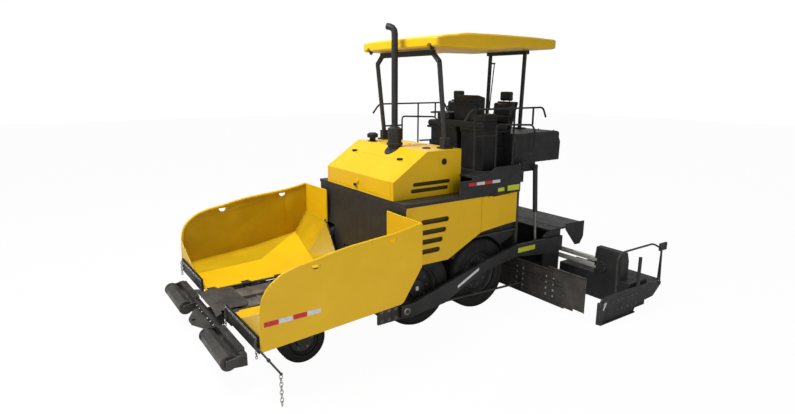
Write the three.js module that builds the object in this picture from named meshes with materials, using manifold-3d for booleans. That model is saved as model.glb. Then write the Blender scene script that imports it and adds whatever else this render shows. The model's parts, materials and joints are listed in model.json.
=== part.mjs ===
// Wheeled asphalt paver: tractor with a folding hopper, and a floating screed that widens hydraulically.
// Millimetres. The machine drives towards -Y, its left side is +X, and the floor is z = 0.
import * as THREE from "three";
import { mergeVertices } from "three/addons/utils/BufferGeometryUtils.js";
import Module from "manifold-3d";

const wasm = await Module();
wasm.setup();

// ---- Driving dimensions ----
const SEAT = 0.3; // gap between pieces that rest on each other
const RUN = 8; // clearance between pieces that move past each other
const PIN_FIT = 0.9; // radial play of a pin in its bore
const SHEET = 18; // folded sheet of panels and covers

// Wheels
const REAR_TYRE = { radius: 530, width: 385, bore: 290 };
const BODY_HALF = 1198;
const REAR_TYRE_OUT = BODY_HALF - 33; // outer face of the drive tyres
const REAR_TYRE_IN = REAR_TYRE_OUT - REAR_TYRE.width;
const REAR_AXLES_Y = [-406, 691];
const FRONT_WHEEL = { radius: 290, width: 270, out: 1230 };
const FRONT_AXLE_Y = -2130;
const KINGPIN_X = 880;
const KINGPIN_RADIUS = 30;
const WHEEL_SIDES = 22;
const FLAT = Math.cos(Math.PI / WHEEL_SIDES); // a wheel stands on one of its facets
const REAR_AXLE_Z = REAR_TYRE.radius * FLAT;
const FRONT_AXLE_Z = FRONT_WHEEL.radius * FLAT;
const STEER_ARM = 150;

// Chassis and conveyor tunnel
const RAIL_IN = 400; // inner face of a chassis side plate
const RAIL_T = 40;
const RAIL_BOTTOM = 330;
const HOPPER_RAIL_TOP = 478;
const BODY_FLOOR = 1090;
const CHASSIS_FRONT = -2740;

// Body
const BODY_FRONT = -663;
const BODY_REAR = 1415;
const RAIL_X = BODY_HALF - 48; // guard rails and rear corner posts
const HOOD_HALF = 917;
const HOOD_REAR = 490;
const LEDGE = { bottom: 1680, top: 1725 };
const HOOD_BROW = 1974; // top of the hood's upright front
const HOOD_TOP = 2342;
const RIDGE_Y = -109; // where the hood's slope meets its flat top
const LID_HINGE_Y = -310;
const LID_HALF = 850;
const LID_HEM = 6; // extra thickness at the front edge of the cover
const DECK = { bottom: 1962, top: 1990 };
const SKIRT = { low: 1986, high: 2081, rampFrom: 785, rampTo: 900 };
const DOOR_SEAM_Y = 652;

// Hopper
const HINGE = { x: 420, z: 508, radius: 14 };
const WING = {
  front: -2790, rear: -712, out: 1632, bottomFront: 505, bottomRear: 636, kneeX: 1030, kneeZ: 650, wallZ: 850,
  archX: REAR_TYRE_IN - 155, archFrom: -1060, archTop: 1060, rearTop: 1600,
};
const WING_PLATE = 18;
const HINGE_SLEEVES = [-2700, -2230, -1750, -1270, -790];
const HINGE_BLOCKS = [-2560, -2000, -1510, -1020];
const FLAP = { inner: 500, outer: 1572, bottom: 460, top: 668, thick: 14 };

// Push beam
const PUSH_ROLLER = { radius: 105, from: 470, to: 1310, y: -3045, z: 318 };

// Roof
const ROOF = { front: 30, rear: 2350, half: 905, bottom: 3682, rearRise: 60, thick: 243 };
const FRONT_POST_X = 770;
const REAR_POST_X = 390;

// Screed
const TOW = { y: -700, z: 330 }; // pivot of the tow arms
const TOW_PIN = 28;
const ARM = { inner: BODY_HALF + 50, thick: 50 };
const SCREED = { half: ARM.inner - 13, front: 1960, rear: 2340, bottom: 20, top: 470, walk: 990 };
const WALK_REAR = SCREED.rear + 610; // rear edge of the walkway
const EXTENSION = {
  inner: SCREED.half + 27, outer: 2500, front: SCREED.rear + 22, rear: SCREED.rear + 460, bottom: 20, top: 430,
};
const TUBE = { radius: 38, inner: 500, outer: 1905, heights: [640, 530] };
const TUBE_Y = { left: EXTENSION.front + 30, right: EXTENSION.front + 116 };
const AUGER_RADIUS = 165;
const AUGER = {
  y: SCREED.front - AUGER_RADIUS - 27, z: 330, radius: AUGER_RADIUS, inner: 45, outer: SCREED.half - 5,
};
// faces of the overlapping plates
const AUGER_PLATES = [47, 41, 35, 29].map((gap) => AUGER.y - AUGER.radius - gap);
const CONVEYOR = { half: 385, bottom: 345.3, top: 470, front: -2715, rear: AUGER_PLATES[0] - 11 };
const GUIDE_BEAM = { half: 690, front: SCREED.rear - 2, rear: TUBE_Y.right + 57, bottom: 478, top: 700 };
const GATE = {
  inner: EXTENSION.outer + 12, outer: EXTENSION.outer + 90, front: 1595, rear: SCREED.rear + 740, bottom: 12,
  top: 400,
};
const LIFT = {
  x: ARM.inner - 30, top: [1690, 2030], foot: [1780, 860], barrel: 700, radius: 36, rod: 20, pin: 18,
};

// ---- Materials ----
function finish(color, roughness, metalness) {
  return new THREE.MeshStandardMaterial({ color, roughness, metalness });
}
const yellow = finish(0xe0b020, 0.38, 0);
const grey = finish(0x3d3c3a, 0.5, 0.1);
const black = finish(0x1d1d1d, 0.6, 0);
const rubber = finish(0x1b1b1b, 0.85, 0);
const steel = finish(0x8d8c88, 0.4, 0.9);
const chrome = finish(0xdcdcdc, 0.12, 1);
const leatherette = finish(0x222222, 0.75, 0);

// ---- Solids ----
function solid(geometry) {
  const bare = geometry.index ? geometry.toNonIndexed() : geometry.clone();
  bare.deleteAttribute("normal");
  bare.deleteAttribute("uv");
  const merged = mergeVertices(bare, 1e-3);
  const corners = merged.index.array;
  const kept = [];
  for (let i = 0; i < corners.length; i += 3) {
    const [a, b, c] = [corners[i], corners[i + 1], corners[i + 2]];
    if (a !== b && b !== c && c !== a) kept.push(a, b, c);
  }
  const vertProperties = merged.attributes.position.array;
  return new wasm.Manifold(new wasm.Mesh({ numProp: 3, vertProperties, triVerts: new Uint32Array(kept) }));
}

function geometryOf(made) {
  const mesh = made.getMesh();
  const places = new Float32Array(mesh.numVert * 3);
  for (let i = 0; i < mesh.numVert; i++) {
    places.set(mesh.vertProperties.subarray(i * mesh.numProp, i * mesh.numProp + 3), i * 3);
  }
  const geometry = new THREE.BufferGeometry();
  geometry.setAttribute("position", new THREE.BufferAttribute(places, 3));
  geometry.setIndex(new THREE.BufferAttribute(mesh.triVerts, 1));
  return geometry;
}

const join = (...solids) => solids.flat().reduce((whole, next) => whole.add(next));
const cut = (whole, ...tools) => tools.flat().reduce((left, tool) => left.subtract(tool), whole);

// A block between two planes on each axis.
function block([x0, x1], [y0, y1], [z0, z1]) {
  const geometry = new THREE.BoxGeometry(x1 - x0, y1 - y0, z1 - z0);
  return solid(geometry.translate((x0 + x1) / 2, (y0 + y1) / 2, (z0 + z1) / 2));
}

function outlineShape(outline) {
  return new THREE.Shape(outline.map(([u, v]) => new THREE.Vector2(u, v)));
}

function extruded(outline, depth) {
  return new THREE.ExtrudeGeometry(outlineShape(outline), { depth, bevelEnabled: false, curveSegments: 8 });
}

// A plate with its outline in [y, z], [x, z] or [x, y], between two planes on the third axis.
function plateX(outline, [x0, x1]) {
  const turn = new THREE.Matrix4().set(0, 0, 1, x0, 1, 0, 0, 0, 0, 1, 0, 0, 0, 0, 0, 1);
  return solid(extruded(outline, x1 - x0).applyMatrix4(turn));
}
function plateY(outline, [y0, y1]) {
  const turn = new THREE.Matrix4().set(1, 0, 0, 0, 0, 0, -1, y1, 0, 1, 0, 0, 0, 0, 0, 1);
  return solid(extruded(outline, y1 - y0).applyMatrix4(turn));
}
function plateZ(outline, [z0, z1]) {
  return solid(extruded(outline, z1 - z0).translate(0, 0, z0));
}

// A round bar between two points.
function bar(from, to, radius, sides = 12, farRadius = radius) {
  const start = new THREE.Vector3(...from);
  const along = new THREE.Vector3(...to).sub(start);
  const geometry = new THREE.CylinderGeometry(farRadius, radius, along.length(), sides);
  const turn = new THREE.Quaternion().setFromUnitVectors(new THREE.Vector3(0, 1, 0), along.clone().normalize());
  geometry.applyQuaternion(turn);
  const middle = start.addScaledVector(along, 0.5);
  return solid(geometry.translate(middle.x, middle.y, middle.z));
}

// A body turned about an axis along X: profile points are [radius, x], closed on the axis or on themselves.
function turned(profile, [x, y, z], sides) {
  const points = profile.map(([radius, along]) => new THREE.Vector2(radius, along));
  const geometry = new THREE.LatheGeometry(points, sides, Math.PI / sides);
  return solid(geometry.rotateZ(-Math.PI / 2).translate(x, y, z));
}

// A path through given points, with each corner rounded to a bend radius.
class Route extends THREE.Curve {
  constructor(points) {
    super();
    this.points = points;
  }
  getPoint(t, target = new THREE.Vector3()) {
    const place = t * (this.points.length - 1);
    const index = Math.min(Math.floor(place + 1e-6), this.points.length - 2);
    return target.lerpVectors(this.points[index], this.points[index + 1], place - index);
  }
  getPointAt(t, target) {
    return this.getPoint(t, target);
  }
  getTangentAt(t, target = new THREE.Vector3()) {
    const before = this.getPoint(Math.max(0, t - 1e-3));
    const after = this.getPoint(Math.min(1, t + 1e-3));
    return target.subVectors(after, before).normalize();
  }
}

function tube(corners, radius, bend, sides = 6) {
  const at = corners.map((corner) => new THREE.Vector3(...corner));
  const points = [at[0]];
  for (let i = 1; i < at.length - 1; i++) {
    const start = at[i].clone().add(at[i - 1].clone().sub(at[i]).setLength(bend));
    const end = at[i].clone().add(at[i + 1].clone().sub(at[i]).setLength(bend));
    points.push(...new THREE.QuadraticBezierCurve3(start, at[i], end).getPoints(3));
  }
  points.push(at[at.length - 1]);
  const section = new THREE.Shape();
  section.absarc(0, 0, radius, 0, 2 * Math.PI);
  const route = new Route(points);
  const steps = points.length - 1;
  const options = { steps, extrudePath: route, bevelEnabled: false, curveSegments: sides / 2 };
  return solid(new THREE.ExtrudeGeometry(section, options));
}

const bothSides = (make) => [make(1), make(-1)];

// ---- Chassis ----
function chassis() {
  const sidePlate = [
    [CHASSIS_FRONT, RAIL_BOTTOM], [BODY_REAR + 30, RAIL_BOTTOM], [BODY_REAR + 30, BODY_FLOOR + 5],
    [BODY_FRONT + SHEET + SEAT, BODY_FLOOR + 5], [BODY_FRONT + SHEET + SEAT, HOPPER_RAIL_TOP],
    [CHASSIS_FRONT, HOPPER_RAIL_TOP],
  ];
  const outriggerY = [-1110, -990];
  const platePlace = [ARM.inner - 43, ARM.inner - 13];
  const towBracket = [[-1110, 215], [-560, 215], [-480, 300], [-480, 400], [-620, 430], [-1110, 430]];
  const parts = [
    block([-RAIL_IN - 5, RAIL_IN + 5], [CHASSIS_FRONT, BODY_REAR + 30], [RAIL_BOTTOM, RAIL_BOTTOM + 15]),
    block([-BODY_HALF + 28, BODY_HALF - 28], [BODY_FRONT + 24, BODY_REAR + 30], [BODY_FLOOR, BODY_FLOOR + 20]),
    block([-RAIL_X, RAIL_X], [BODY_REAR + 2, BODY_REAR + 30], [BODY_FLOOR - 300, DECK.bottom - SEAT]),
    block([-RAIL_IN - 5, RAIL_IN + 5], [CHASSIS_FRONT, CHASSIS_FRONT + 16], [RAIL_BOTTOM, 400]),
  ];
  for (const side of [1, -1]) {
    const span = (from, to) => (side > 0 ? [from, to] : [-to, -from]);
    parts.push(plateX(sidePlate, span(RAIL_IN, RAIL_IN + RAIL_T)));
    parts.push(block(span(RAIL_IN + 20, platePlace[1]), outriggerY, [340, 430]));
    parts.push(plateX(towBracket, span(...platePlace)));
    parts.push(
      bar([side * (ARM.inner - 33), TOW.y, TOW.z], [side * (ARM.inner + ARM.thick + 12), TOW.y, TOW.z], TOW_PIN, 16),
    );
    parts.push(
      bar([side * HINGE.x, WING.front + 10, HINGE.z], [side * HINGE.x, WING.rear - 4, HINGE.z], HINGE.radius),
    );
    for (const y of HINGE_BLOCKS) {
      parts.push(block(span(RAIL_IN, RAIL_IN + RAIL_T), [y - 45, y + 45], [HOPPER_RAIL_TOP - 5, HINGE.z + 6]));
    }
    parts.push(
      bar([side * (ARM.inner - 28), -520, 300], [side * (ARM.inner - 28), AUGER_PLATES[0] - 1, 235], 16),
    );
    parts.push(
      block(span(RAIL_X - 30, RAIL_X + 10), [BODY_REAR - 20, BODY_REAR + 28], [864, DECK.bottom - SEAT]),
    );
  }
  const tunnel = block([-RAIL_IN, RAIL_IN], [BODY_REAR - 10, BODY_REAR + 40], [RAIL_BOTTOM + 15, 760]);
  return cut(join(parts), tunnel);
}

function slatConveyors() {
  const { half, bottom, top, front, rear } = CONVEYOR;
  const r = (top - bottom) / 2;
  const outline = [];
  for (let i = 0; i <= 8; i++) {
    const angle = Math.PI / 2 + (i * Math.PI) / 8;
    outline.push([front + r + r * Math.cos(angle), bottom + r + r * Math.sin(angle)]);
  }
  for (let i = 0; i <= 8; i++) {
    const angle = -Math.PI / 2 + (i * Math.PI) / 8;
    outline.push([rear - r + r * Math.cos(angle), bottom + r + r * Math.sin(angle)]);
  }
  const rib = block([-22, 22], [front + 70, rear - 70], [bottom + 20, top + 40]);
  const slats = [];
  for (let y = front + 120; y < rear - 100; y += 330) {
    slats.push(block([-half + 15, half - 15], [y, y + 40], [top - 10, top + 14]));
  }
  return join(plateX(outline, [-half, half]), rib, slats);
}

function driveHousing() {
  const tyreMiddle = REAR_TYRE_OUT - REAR_TYRE.width / 2;
  const box = block(
    [RAIL_IN + RAIL_T + SEAT, REAR_TYRE_IN - 90], [REAR_AXLES_Y[0] - 160, REAR_AXLES_Y[1] + 160], [430, 630],
  );
  const hubs = REAR_AXLES_Y.map(
    (y) => bar([REAR_TYRE_IN - 100, y, REAR_AXLE_Z], [tyreMiddle + 38, y, REAR_AXLE_Z], 150, 20),
  );
  return join(box, hubs);
}

// ---- Wheels ----
function rearTyre(y) {
  const { radius, width, bore } = REAR_TYRE;
  const w = width / 2;
  const half = [
    [bore, w - 28], [bore + 45, w - 6], [radius - 90, w], [radius - 32, w - 14], [radius - 5, w - 42],
    [radius, 0],
  ];
  const other = half.slice(0, -1).reverse().map(([r, x]) => [r, -x]);
  const profile = [...half, ...other, half[0]].reverse();
  return turned(profile, [REAR_TYRE_OUT - w, y, REAR_AXLE_Z], WHEEL_SIDES);
}

function rearRim(y) {
  const w = REAR_TYRE.width / 2;
  const outer = REAR_TYRE.bore - SEAT;
  const profile = [
    [0, 38 + SEAT], [outer - 38, 38 + SEAT], [outer - 28, -w + 32], [outer, -w + 32], [outer, w - 32],
    [outer - 24, w - 32],
    [outer - 40, 66], [130, 66], [118, 112], [0, 112],
  ];
  return turned(profile, [REAR_TYRE_OUT - w, y, REAR_AXLE_Z], WHEEL_SIDES);
}

function frontWheel() {
  const { radius, width, out } = FRONT_WHEEL;
  const w = width / 2;
  const profile = [
    [0, 44], [46, 44], [46, -80], [80, -80], [86, -58], [188, -58], [198, -w + 4], [270, -w], [radius, -w + 26],
    [radius, w - 26], [270, w], [198, w - 4], [188, 62], [92, 62], [84, 96], [0, 96],
  ];
  return turned(profile, [out - w, FRONT_AXLE_Y, FRONT_AXLE_Z], WHEEL_SIDES);
}

function frontAxle() {
  const y = FRONT_AXLE_Y;
  const pin = KINGPIN_RADIUS + PIN_FIT;
  const beam = block([-KINGPIN_X + 20, KINGPIN_X - 20], [y - 42, y + 42], [248, 322]);
  const pivot = block([-95, 95], [y - 70, y + 70], [240, RAIL_BOTTOM - SEAT]);
  const bosses = bothSides((side) => bar([side * KINGPIN_X, y, 246], [side * KINGPIN_X, y, 334], 42, 16));
  const bores = bothSides((side) => bar([side * KINGPIN_X, y, 230], [side * KINGPIN_X, y, 350], pin, 16));
  return cut(join(beam, pivot, bosses), bores);
}

function knuckle() {
  const y = FRONT_AXLE_Y;
  const arms = [[341, 361], [219, 239]].map((z) => block([KINGPIN_X - 30, 950], [y - 35, y + 35], z));
  const web = block([930, 950], [y - 50, y + 50], [219, 361]);
  const pin = bar([KINGPIN_X, y, 225], [KINGPIN_X, y, 355], KINGPIN_RADIUS, 16);
  const stub = bar(
    [945, y, FRONT_AXLE_Z], [FRONT_WHEEL.out - FRONT_WHEEL.width / 2 + 42, y, FRONT_AXLE_Z], 45, 20,
  );
  const lever = plateZ([[850, y], [900, y], [880, y + STEER_ARM + 20], [850, y + STEER_ARM + 20]], [219, 239]);
  return join(arms, web, pin, stub, lever);
}

function tieRod() {
  const y = FRONT_AXLE_Y + STEER_ARM;
  const z = 239 + SEAT;
  const eyes = bothSides((side) => bar([side * 862, y, z], [side * 862, y, z + 24], 20));
  return join(bar([-862, y, z + 12], [862, y, z + 12], 11), eyes);
}

// ---- Hopper ----
function wing() {
  const { front, rear, out, bottomFront, bottomRear, kneeX, kneeZ, wallZ, archX, archFrom, archTop, rearTop } = WING;
  const t = WING_PLATE;
  const wall = [
    [front - 8, bottomFront], [rear - 100, bottomRear], [rear, 850], [rear, rearTop],
    [rear - 600, rearTop - 40],
    [rear - 1200, rearTop - 144], [rear - 1670, rearTop - 254], [rear - 1915, rearTop - 398],
    [rear - 2018, rearTop - 529], [rear - 2068, rearTop - 713],
  ];
  const inner = HINGE.x + 28;
  const floorTop = [[inner, HINGE.z + 8], [kneeX, kneeZ], [out - 5, wallZ]];
  const floor = plateY([...floorTop, ...floorTop.map(([x, z]) => [x, z - t]).reverse()], [front, rear]);
  const above = plateY(
    [...floorTop.map(([x, z]) => [x, z - t]), [out - 5, 1200], [inner, 1200]], [front, rear],
  );
  const slope = [[archFrom, kneeZ - 110], [rear, archTop]];
  const arch = plateX([...slope, [rear, 300], [archFrom, 300]], [archX, out - t]);
  const ramp = plateX([...slope, [rear, archTop + 24], [archFrom - 16, kneeZ - 95]], [archX - t, out - 5]);
  const cheek = plateX([...slope, [rear, HINGE.z]], [archX - t, archX]);
  const back = [
    [out - 5, rearTop], [925, rearTop], [925, rearTop - 300], [archX - t, archTop + 4], [out - 5, archTop + 4],
  ];
  const sleeves = HINGE_SLEEVES.map((y) => bar([HINGE.x, y - 60, HINGE.z], [HINGE.x, y + 60, HINGE.z], 27));
  const lugs = HINGE_SLEEVES.map(
    (y) => block([HINGE.x, HINGE.x + 44], [y - 60, y + 60], [HINGE.z - 10, HINGE.z + 12]),
  );
  const bore = bar([HINGE.x, front - 40, HINGE.z], [HINGE.x, rear + 40, HINGE.z], HINGE.radius + PIN_FIT);
  const rib = [[kneeX - 60, kneeZ - 25], [out - 10, wallZ - 10], [out - 10, kneeZ + 10]];
  const ribs = [-2620, -1950, -1400].map((y) => plateY(rib, [y, y + 14]));
  const tray = join(cut(floor, arch), ramp.intersect(above), cheek.intersect(above));
  return cut(
    join(plateX(wall, [out - t, out]), tray, plateY(back, [rear - t, rear]), sleeves, lugs, ribs), bore,
  );
}

function hopperFlap() {
  const { inner, outer, bottom, top, thick } = FLAP;
  const y1 = WING.front - SEAT;
  const plate = plateY(
    [[inner, bottom], [outer, bottom + 10], [outer, top], [inner, top - 6]], [y1 - thick, y1],
  );
  const strip = block([inner + 20, outer - 20], [y1 - thick - 8, y1 - thick + 2], [top - 60, top - 36]);
  return join(plate, strip);
}

function guideRod() {
  const y = WING.front - SEAT - FLAP.thick - 22;
  const z = 552;
  const clamp = block([FLAP.outer - 90, FLAP.outer - 4], [y - 12, y + 22 - SEAT], [z - 22, z + 22]);
  const rod = bar([FLAP.outer - 80, y, z], [2224, y, z], 9, 10);
  const peg = bar([1892, y, z - 75], [1892, y, z], 7, 8);
  const chain = bar([2214, y, 205], [2214, y, z], 7, 8);
  return join(clamp, rod, peg, chain);
}

// ---- Front of the machine ----
function pushBeam() {
  const { radius, y, z } = PUSH_ROLLER;
  const beamY = [y + radius + 13, y + radius + 85];
  const beam = block([-1330, 1330], beamY, [250, 400]);
  const pivot = block([-180, 180], [beamY[0], CHASSIS_FRONT - SEAT], [262, 385]);
  const parts = [beam, pivot];
  for (const side of [1, -1]) {
    const bearings = [
      [PUSH_ROLLER.from - 34, PUSH_ROLLER.from - 10], [PUSH_ROLLER.to + 10, PUSH_ROLLER.to + 34],
    ];
    for (const [from, to] of bearings) {
      const span = side > 0 ? [from, to] : [-to, -from];
      parts.push(plateX([[y - 40, z - 45], [beamY[1], 255], [beamY[1], 395], [y - 40, z + 45]], span));
    }
    parts.push(bar([side * (PUSH_ROLLER.from - 30), y, z], [side * (PUSH_ROLLER.to + 30), y, z], 24, 12));
  }
  return join(parts, towEye());
}

function towEye() {
  const z = [300, 336];
  const y = PUSH_ROLLER.y;
  const back = y + PUSH_ROLLER.radius + 17;
  const outline = [[-330, back], [-330, y + 60], [-70, y - 70], [70, y - 70], [330, y + 60], [330, back]];
  const hole = bar([0, y - 20, z[0] - 10], [0, y - 20, z[1] + 10], 32, 16);
  return cut(plateZ(outline, z), hole);
}

function pushRoller() {
  const { radius, from, to, y, z } = PUSH_ROLLER;
  const middle = (from + to) / 2;
  const half = (to - from) / 2;
  const bore = 25.5;
  const groove = radius - 8;
  const profile = [[bore, -half], [bore, half], [radius, half]];
  for (const x of [half - 210, 0, -half + 210]) {
    profile.push([radius, x + 22], [groove, x + 12], [groove, x - 12], [radius, x - 22]);
  }
  profile.push([radius, -half], [bore, -half]);
  return turned(profile.reverse(), [middle, y, z], 14);
}

// ---- Body ----
function bulkhead() {
  const outer = BODY_HALF - SHEET - 4;
  const wheelSide = REAR_TYRE_IN - 40;
  const step = 2 * REAR_TYRE.radius;
  const top = LEDGE.bottom - SEAT;
  const face = plateY([
    [-outer, step], [-outer, top], [outer, top], [outer, step], [wheelSide, step], [wheelSide, 640],
    [-wheelSide, 640], [-wheelSide, step],
  ], [BODY_FRONT, BODY_FRONT + SHEET]);
  const tunnel = block(
    [-RAIL_IN - RAIL_T - 4, RAIL_IN + RAIL_T + 4], [BODY_FRONT - 5, BODY_FRONT + 30], [600, 820],
  );
  return cut(face, tunnel);
}

const slopeZ = (y) => HOOD_BROW + ((HOOD_TOP - HOOD_BROW) * (y - BODY_FRONT)) / (RIDGE_Y - BODY_FRONT);

const LID_AXIS = [LID_HINGE_Y - 20, slopeZ(LID_HINGE_Y - 20)];

const hoodOutline = (gap) => [
  [BODY_FRONT - gap, LEDGE.top + SEAT - gap], [BODY_FRONT - gap, HOOD_BROW + gap], [RIDGE_Y, HOOD_TOP + gap],
  [HOOD_REAR + gap, HOOD_TOP + gap], [HOOD_REAR + gap, LEDGE.top + SEAT - gap],
];

function hood() {
  const y0 = BODY_FRONT;
  const inner = [
    [y0 + SHEET, LEDGE.top - 20], [y0 + SHEET, HOOD_BROW - SHEET], [RIDGE_Y + 5, HOOD_TOP - SHEET],
    [HOOD_REAR - SHEET, HOOD_TOP - SHEET], [HOOD_REAR - SHEET, LEDGE.top - 20],
  ];
  const top = slopeZ(LID_HINGE_Y);
  const relief = slopeZ(LID_HINGE_Y - 45) - SHEET - 32;
  const lidSpace = [
    [y0 - 30, LEDGE.top + 30], [y0 + SHEET + SEAT, LEDGE.top + 30],
    [y0 + SHEET + SEAT, slopeZ(y0 + SHEET) - SHEET - LID_HEM - SEAT - 0.5],
    [LID_HINGE_Y - 45, slopeZ(LID_HINGE_Y - 45) - SHEET - 1.1], [LID_HINGE_Y - 45, relief],
    [LID_HINGE_Y, relief], [LID_HINGE_Y, top + 40], [y0 - 30, HOOD_BROW + 60],
  ];
  const lidOpening = [
    [y0 - 30, LEDGE.top + 50], [y0 + 60, LEDGE.top + 50], [y0 + 60, HOOD_BROW - 60], [LID_HINGE_Y - 20, relief],
    [LID_HINGE_Y - 20, top + 40], [y0 - 30, HOOD_BROW + 60],
  ];
  const lip = [
    [y0 + 5, LEDGE.top + 5], [y0 + 5, HOOD_BROW - 6], [LID_HINGE_Y + 10, top],
    [LID_HINGE_Y + 10, top - SHEET - 14],
    [y0 + SHEET + 14, HOOD_BROW - SHEET - 8], [y0 + SHEET + 14, LEDGE.top + 5],
  ];
  const slots = [];
  for (const [row, z] of [1908, 1823].entries()) {
    const shift = row * -36;
    for (const side of [1, -1]) {
      const span = side > 0 ? [HOOD_HALF - 40, HOOD_HALF + 10] : [-HOOD_HALF - 10, -HOOD_HALF + 40];
      slots.push(block(span, [-331 + shift, 287 + shift], [z - 20, z + 20]));
    }
  }
  const hollow = plateX(inner, [-HOOD_HALF + SHEET, HOOD_HALF - SHEET]);
  const shell = cut(plateX(hoodOutline(0), [-HOOD_HALF, HOOD_HALF]), hollow);
  const lidded = join(shell, plateX(lip, [-LID_HALF - 20, LID_HALF + 20]));
  const opened = cut(lidded, plateX(lidOpening, [-LID_HALF + 25, LID_HALF - 25]));
  return cut(opened, plateX(lidSpace, [-LID_HALF, LID_HALF]), slots);
}

function hoodCover() {
  const gap = 4;
  const y0 = BODY_FRONT;
  const top = LID_HINGE_Y - gap;
  const outline = [
    [y0, LEDGE.top + 30 + gap], [y0, HOOD_BROW], [top, slopeZ(top)], [top, slopeZ(top) - SHEET],
    [y0 + SHEET, slopeZ(y0 + SHEET) - SHEET - LID_HEM], [y0 + SHEET, LEDGE.top + 30 + gap],
  ];
  const half = LID_HALF - gap;
  const [axisY, axisZ] = LID_AXIS;
  const hinges = [-600, 600].map((x) => bar([x - 45, axisY, axisZ], [x + 45, axisY, axisZ], 12));
  const latch = block([-35, 35], [y0 - 14, y0 + 4], [1845, 1885]);
  return join(plateX(outline, [-half, half]), hinges, latch);
}

function airIntake() {
  const [x, y] = [-610, -20];
  const base = HOOD_TOP + SEAT;
  const neck = bar([x, y, base], [x, y, base + 80], 48, 16);
  const foot = bar([x, y, base], [x, y, base + 10], 80, 16);
  const cap = bar([x, y, base + 62], [x, y, base + 112], 84, 16, 88);
  const crown = bar([x, y, base + 110], [x, y, base + 136], 88, 16, 52);
  return join(neck, foot, cap, crown);
}

function exhaustStack() {
  const [x, y] = [150, -120];
  const shoulder = 2600;
  const pedestal = bar([x, y, 2200], [x, y, shoulder], 100, 24);
  const cone = bar([x, y, shoulder - 1], [x, y, shoulder + 26], 100, 24, 62);
  const pipe = tube([[x, y, shoulder], [x, y, 3985], [x - 105, y - 60, 4008]], 46, 80, 12);
  const flange = bar([x, y - 25, 2200], [x, y - 25, 2372], 128, 24);
  const seat = plateX(hoodOutline(SEAT), [-HOOD_HALF, HOOD_HALF]);
  const skin = plateX(hoodOutline(14), [-HOOD_HALF, HOOD_HALF]);
  return cut(join(pedestal, cone, pipe, flange.intersect(skin)), seat);
}

function deck() {
  const { bottom, top } = DECK;
  const parts = [
    block([-BODY_HALF, BODY_HALF], [260, BODY_REAR + 30], [bottom, top]),
    block([-HOOD_HALF - 20, HOOD_HALF + 20], [BODY_FRONT, BODY_FRONT + 60], [LEDGE.bottom, LEDGE.top]),
    block([-BODY_HALF, BODY_HALF], [520, 560], [LEDGE.bottom, LEDGE.top]),
  ];
  const skirt = [
    [240, LEDGE.bottom], [BODY_REAR, LEDGE.bottom], [BODY_REAR, SKIRT.high], [SKIRT.rampTo, SKIRT.high],
    [SKIRT.rampFrom, SKIRT.low + 12], [240, SKIRT.low],
  ];
  for (const side of [1, -1]) {
    const span = (from, to) => (side > 0 ? [from, to] : [-to, -from]);
    parts.push(block(span(HOOD_HALF - 40, BODY_HALF), [BODY_FRONT, 560], [LEDGE.bottom, LEDGE.top]));
    parts.push(plateX(skirt, span(BODY_HALF - SHEET, BODY_HALF)));
  }
  const hoodSpace = block(
    [-HOOD_HALF - SEAT, HOOD_HALF + SEAT], [200, HOOD_REAR + SEAT], [LEDGE.top + 20, 2100],
  );
  return cut(join(parts), hoodSpace);
}

const ARCH = [[DOOR_SEAM_Y - 2, 1165], [55, 876]];
function sidePanel() {
  const top = LEDGE.bottom - SEAT;
  const outline = [
    [BODY_FRONT + SHEET + SEAT, top], [DOOR_SEAM_Y - 2, top], ...ARCH, [BODY_FRONT + SHEET + SEAT, 881],
  ];
  const slot = (z, row) => block([BODY_HALF - 60, BODY_HALF + 10], [-340, 190 - row * 45], [z - 24, z + 24]);
  const slots = [1540, 1440, 1340, 1240].map(slot);
  const span = [BODY_HALF - SHEET, BODY_HALF];
  const foot = block([BODY_HALF - 68, BODY_HALF - 5], [-300, -240], [BODY_FLOOR + 20 + SEAT, BODY_FLOOR + 60]);
  return join(cut(plateX(outline, span), slots), foot);
}

const DOOR_AXIS = [BODY_HALF + 10, LEDGE.bottom - 13 - SEAT];

function rearDoor() {
  const top = LEDGE.bottom - SEAT;
  const outline = [
    [DOOR_SEAM_Y + 6, 1168], [DOOR_SEAM_Y + 6, top], [BODY_REAR - 60, top], [BODY_REAR - 60, 1228],
    [1130, 1215],
  ];
  const [axisX, axisZ] = DOOR_AXIS;
  const knuckles = [800, 1220].map((y) => bar([axisX, y - 40, axisZ], [axisX, y + 40, axisZ], 13));
  return join(plateX(outline, [BODY_HALF - SHEET, BODY_HALF]), knuckles);
}

function engineBlock() {
  const floor = BODY_FLOOR + 20 + SEAT;
  const engine = block([-330, 330], [-420, 330], [floor + 60, 1850]);
  const feet = block([-420, 420], [-380, 290], [floor, floor + 70]);
  const radiator = block([-600, 600], [-520, -400], [floor + 40, 1640]);
  return join(engine, feet, radiator);
}

// ---- Platform ----
function operatorSeats() {
  const floor = DECK.top + SEAT;
  const cushion = 2530;
  const parts = [block([-720, 720], [1290, 1400], [floor, floor + 60])];
  for (const side of [1, -1]) {
    const x = side * 560;
    const wide = (half) => [x - half, x + half];
    parts.push(block(wide(140), [1200, 1420], [floor, cushion + 5]));
    parts.push(block(wide(240), [1170, 1610], [cushion, cushion + 105]));
    parts.push(plateX([[1560, cushion + 60], [1640, cushion + 60], [1720, 2975], [1640, 2975]], wide(225)));
    parts.push(plateX([[1655, 2960], [1715, 2960], [1740, 3120], [1675, 3120]], wide(130)));
  }
  return join(parts);
}

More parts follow.
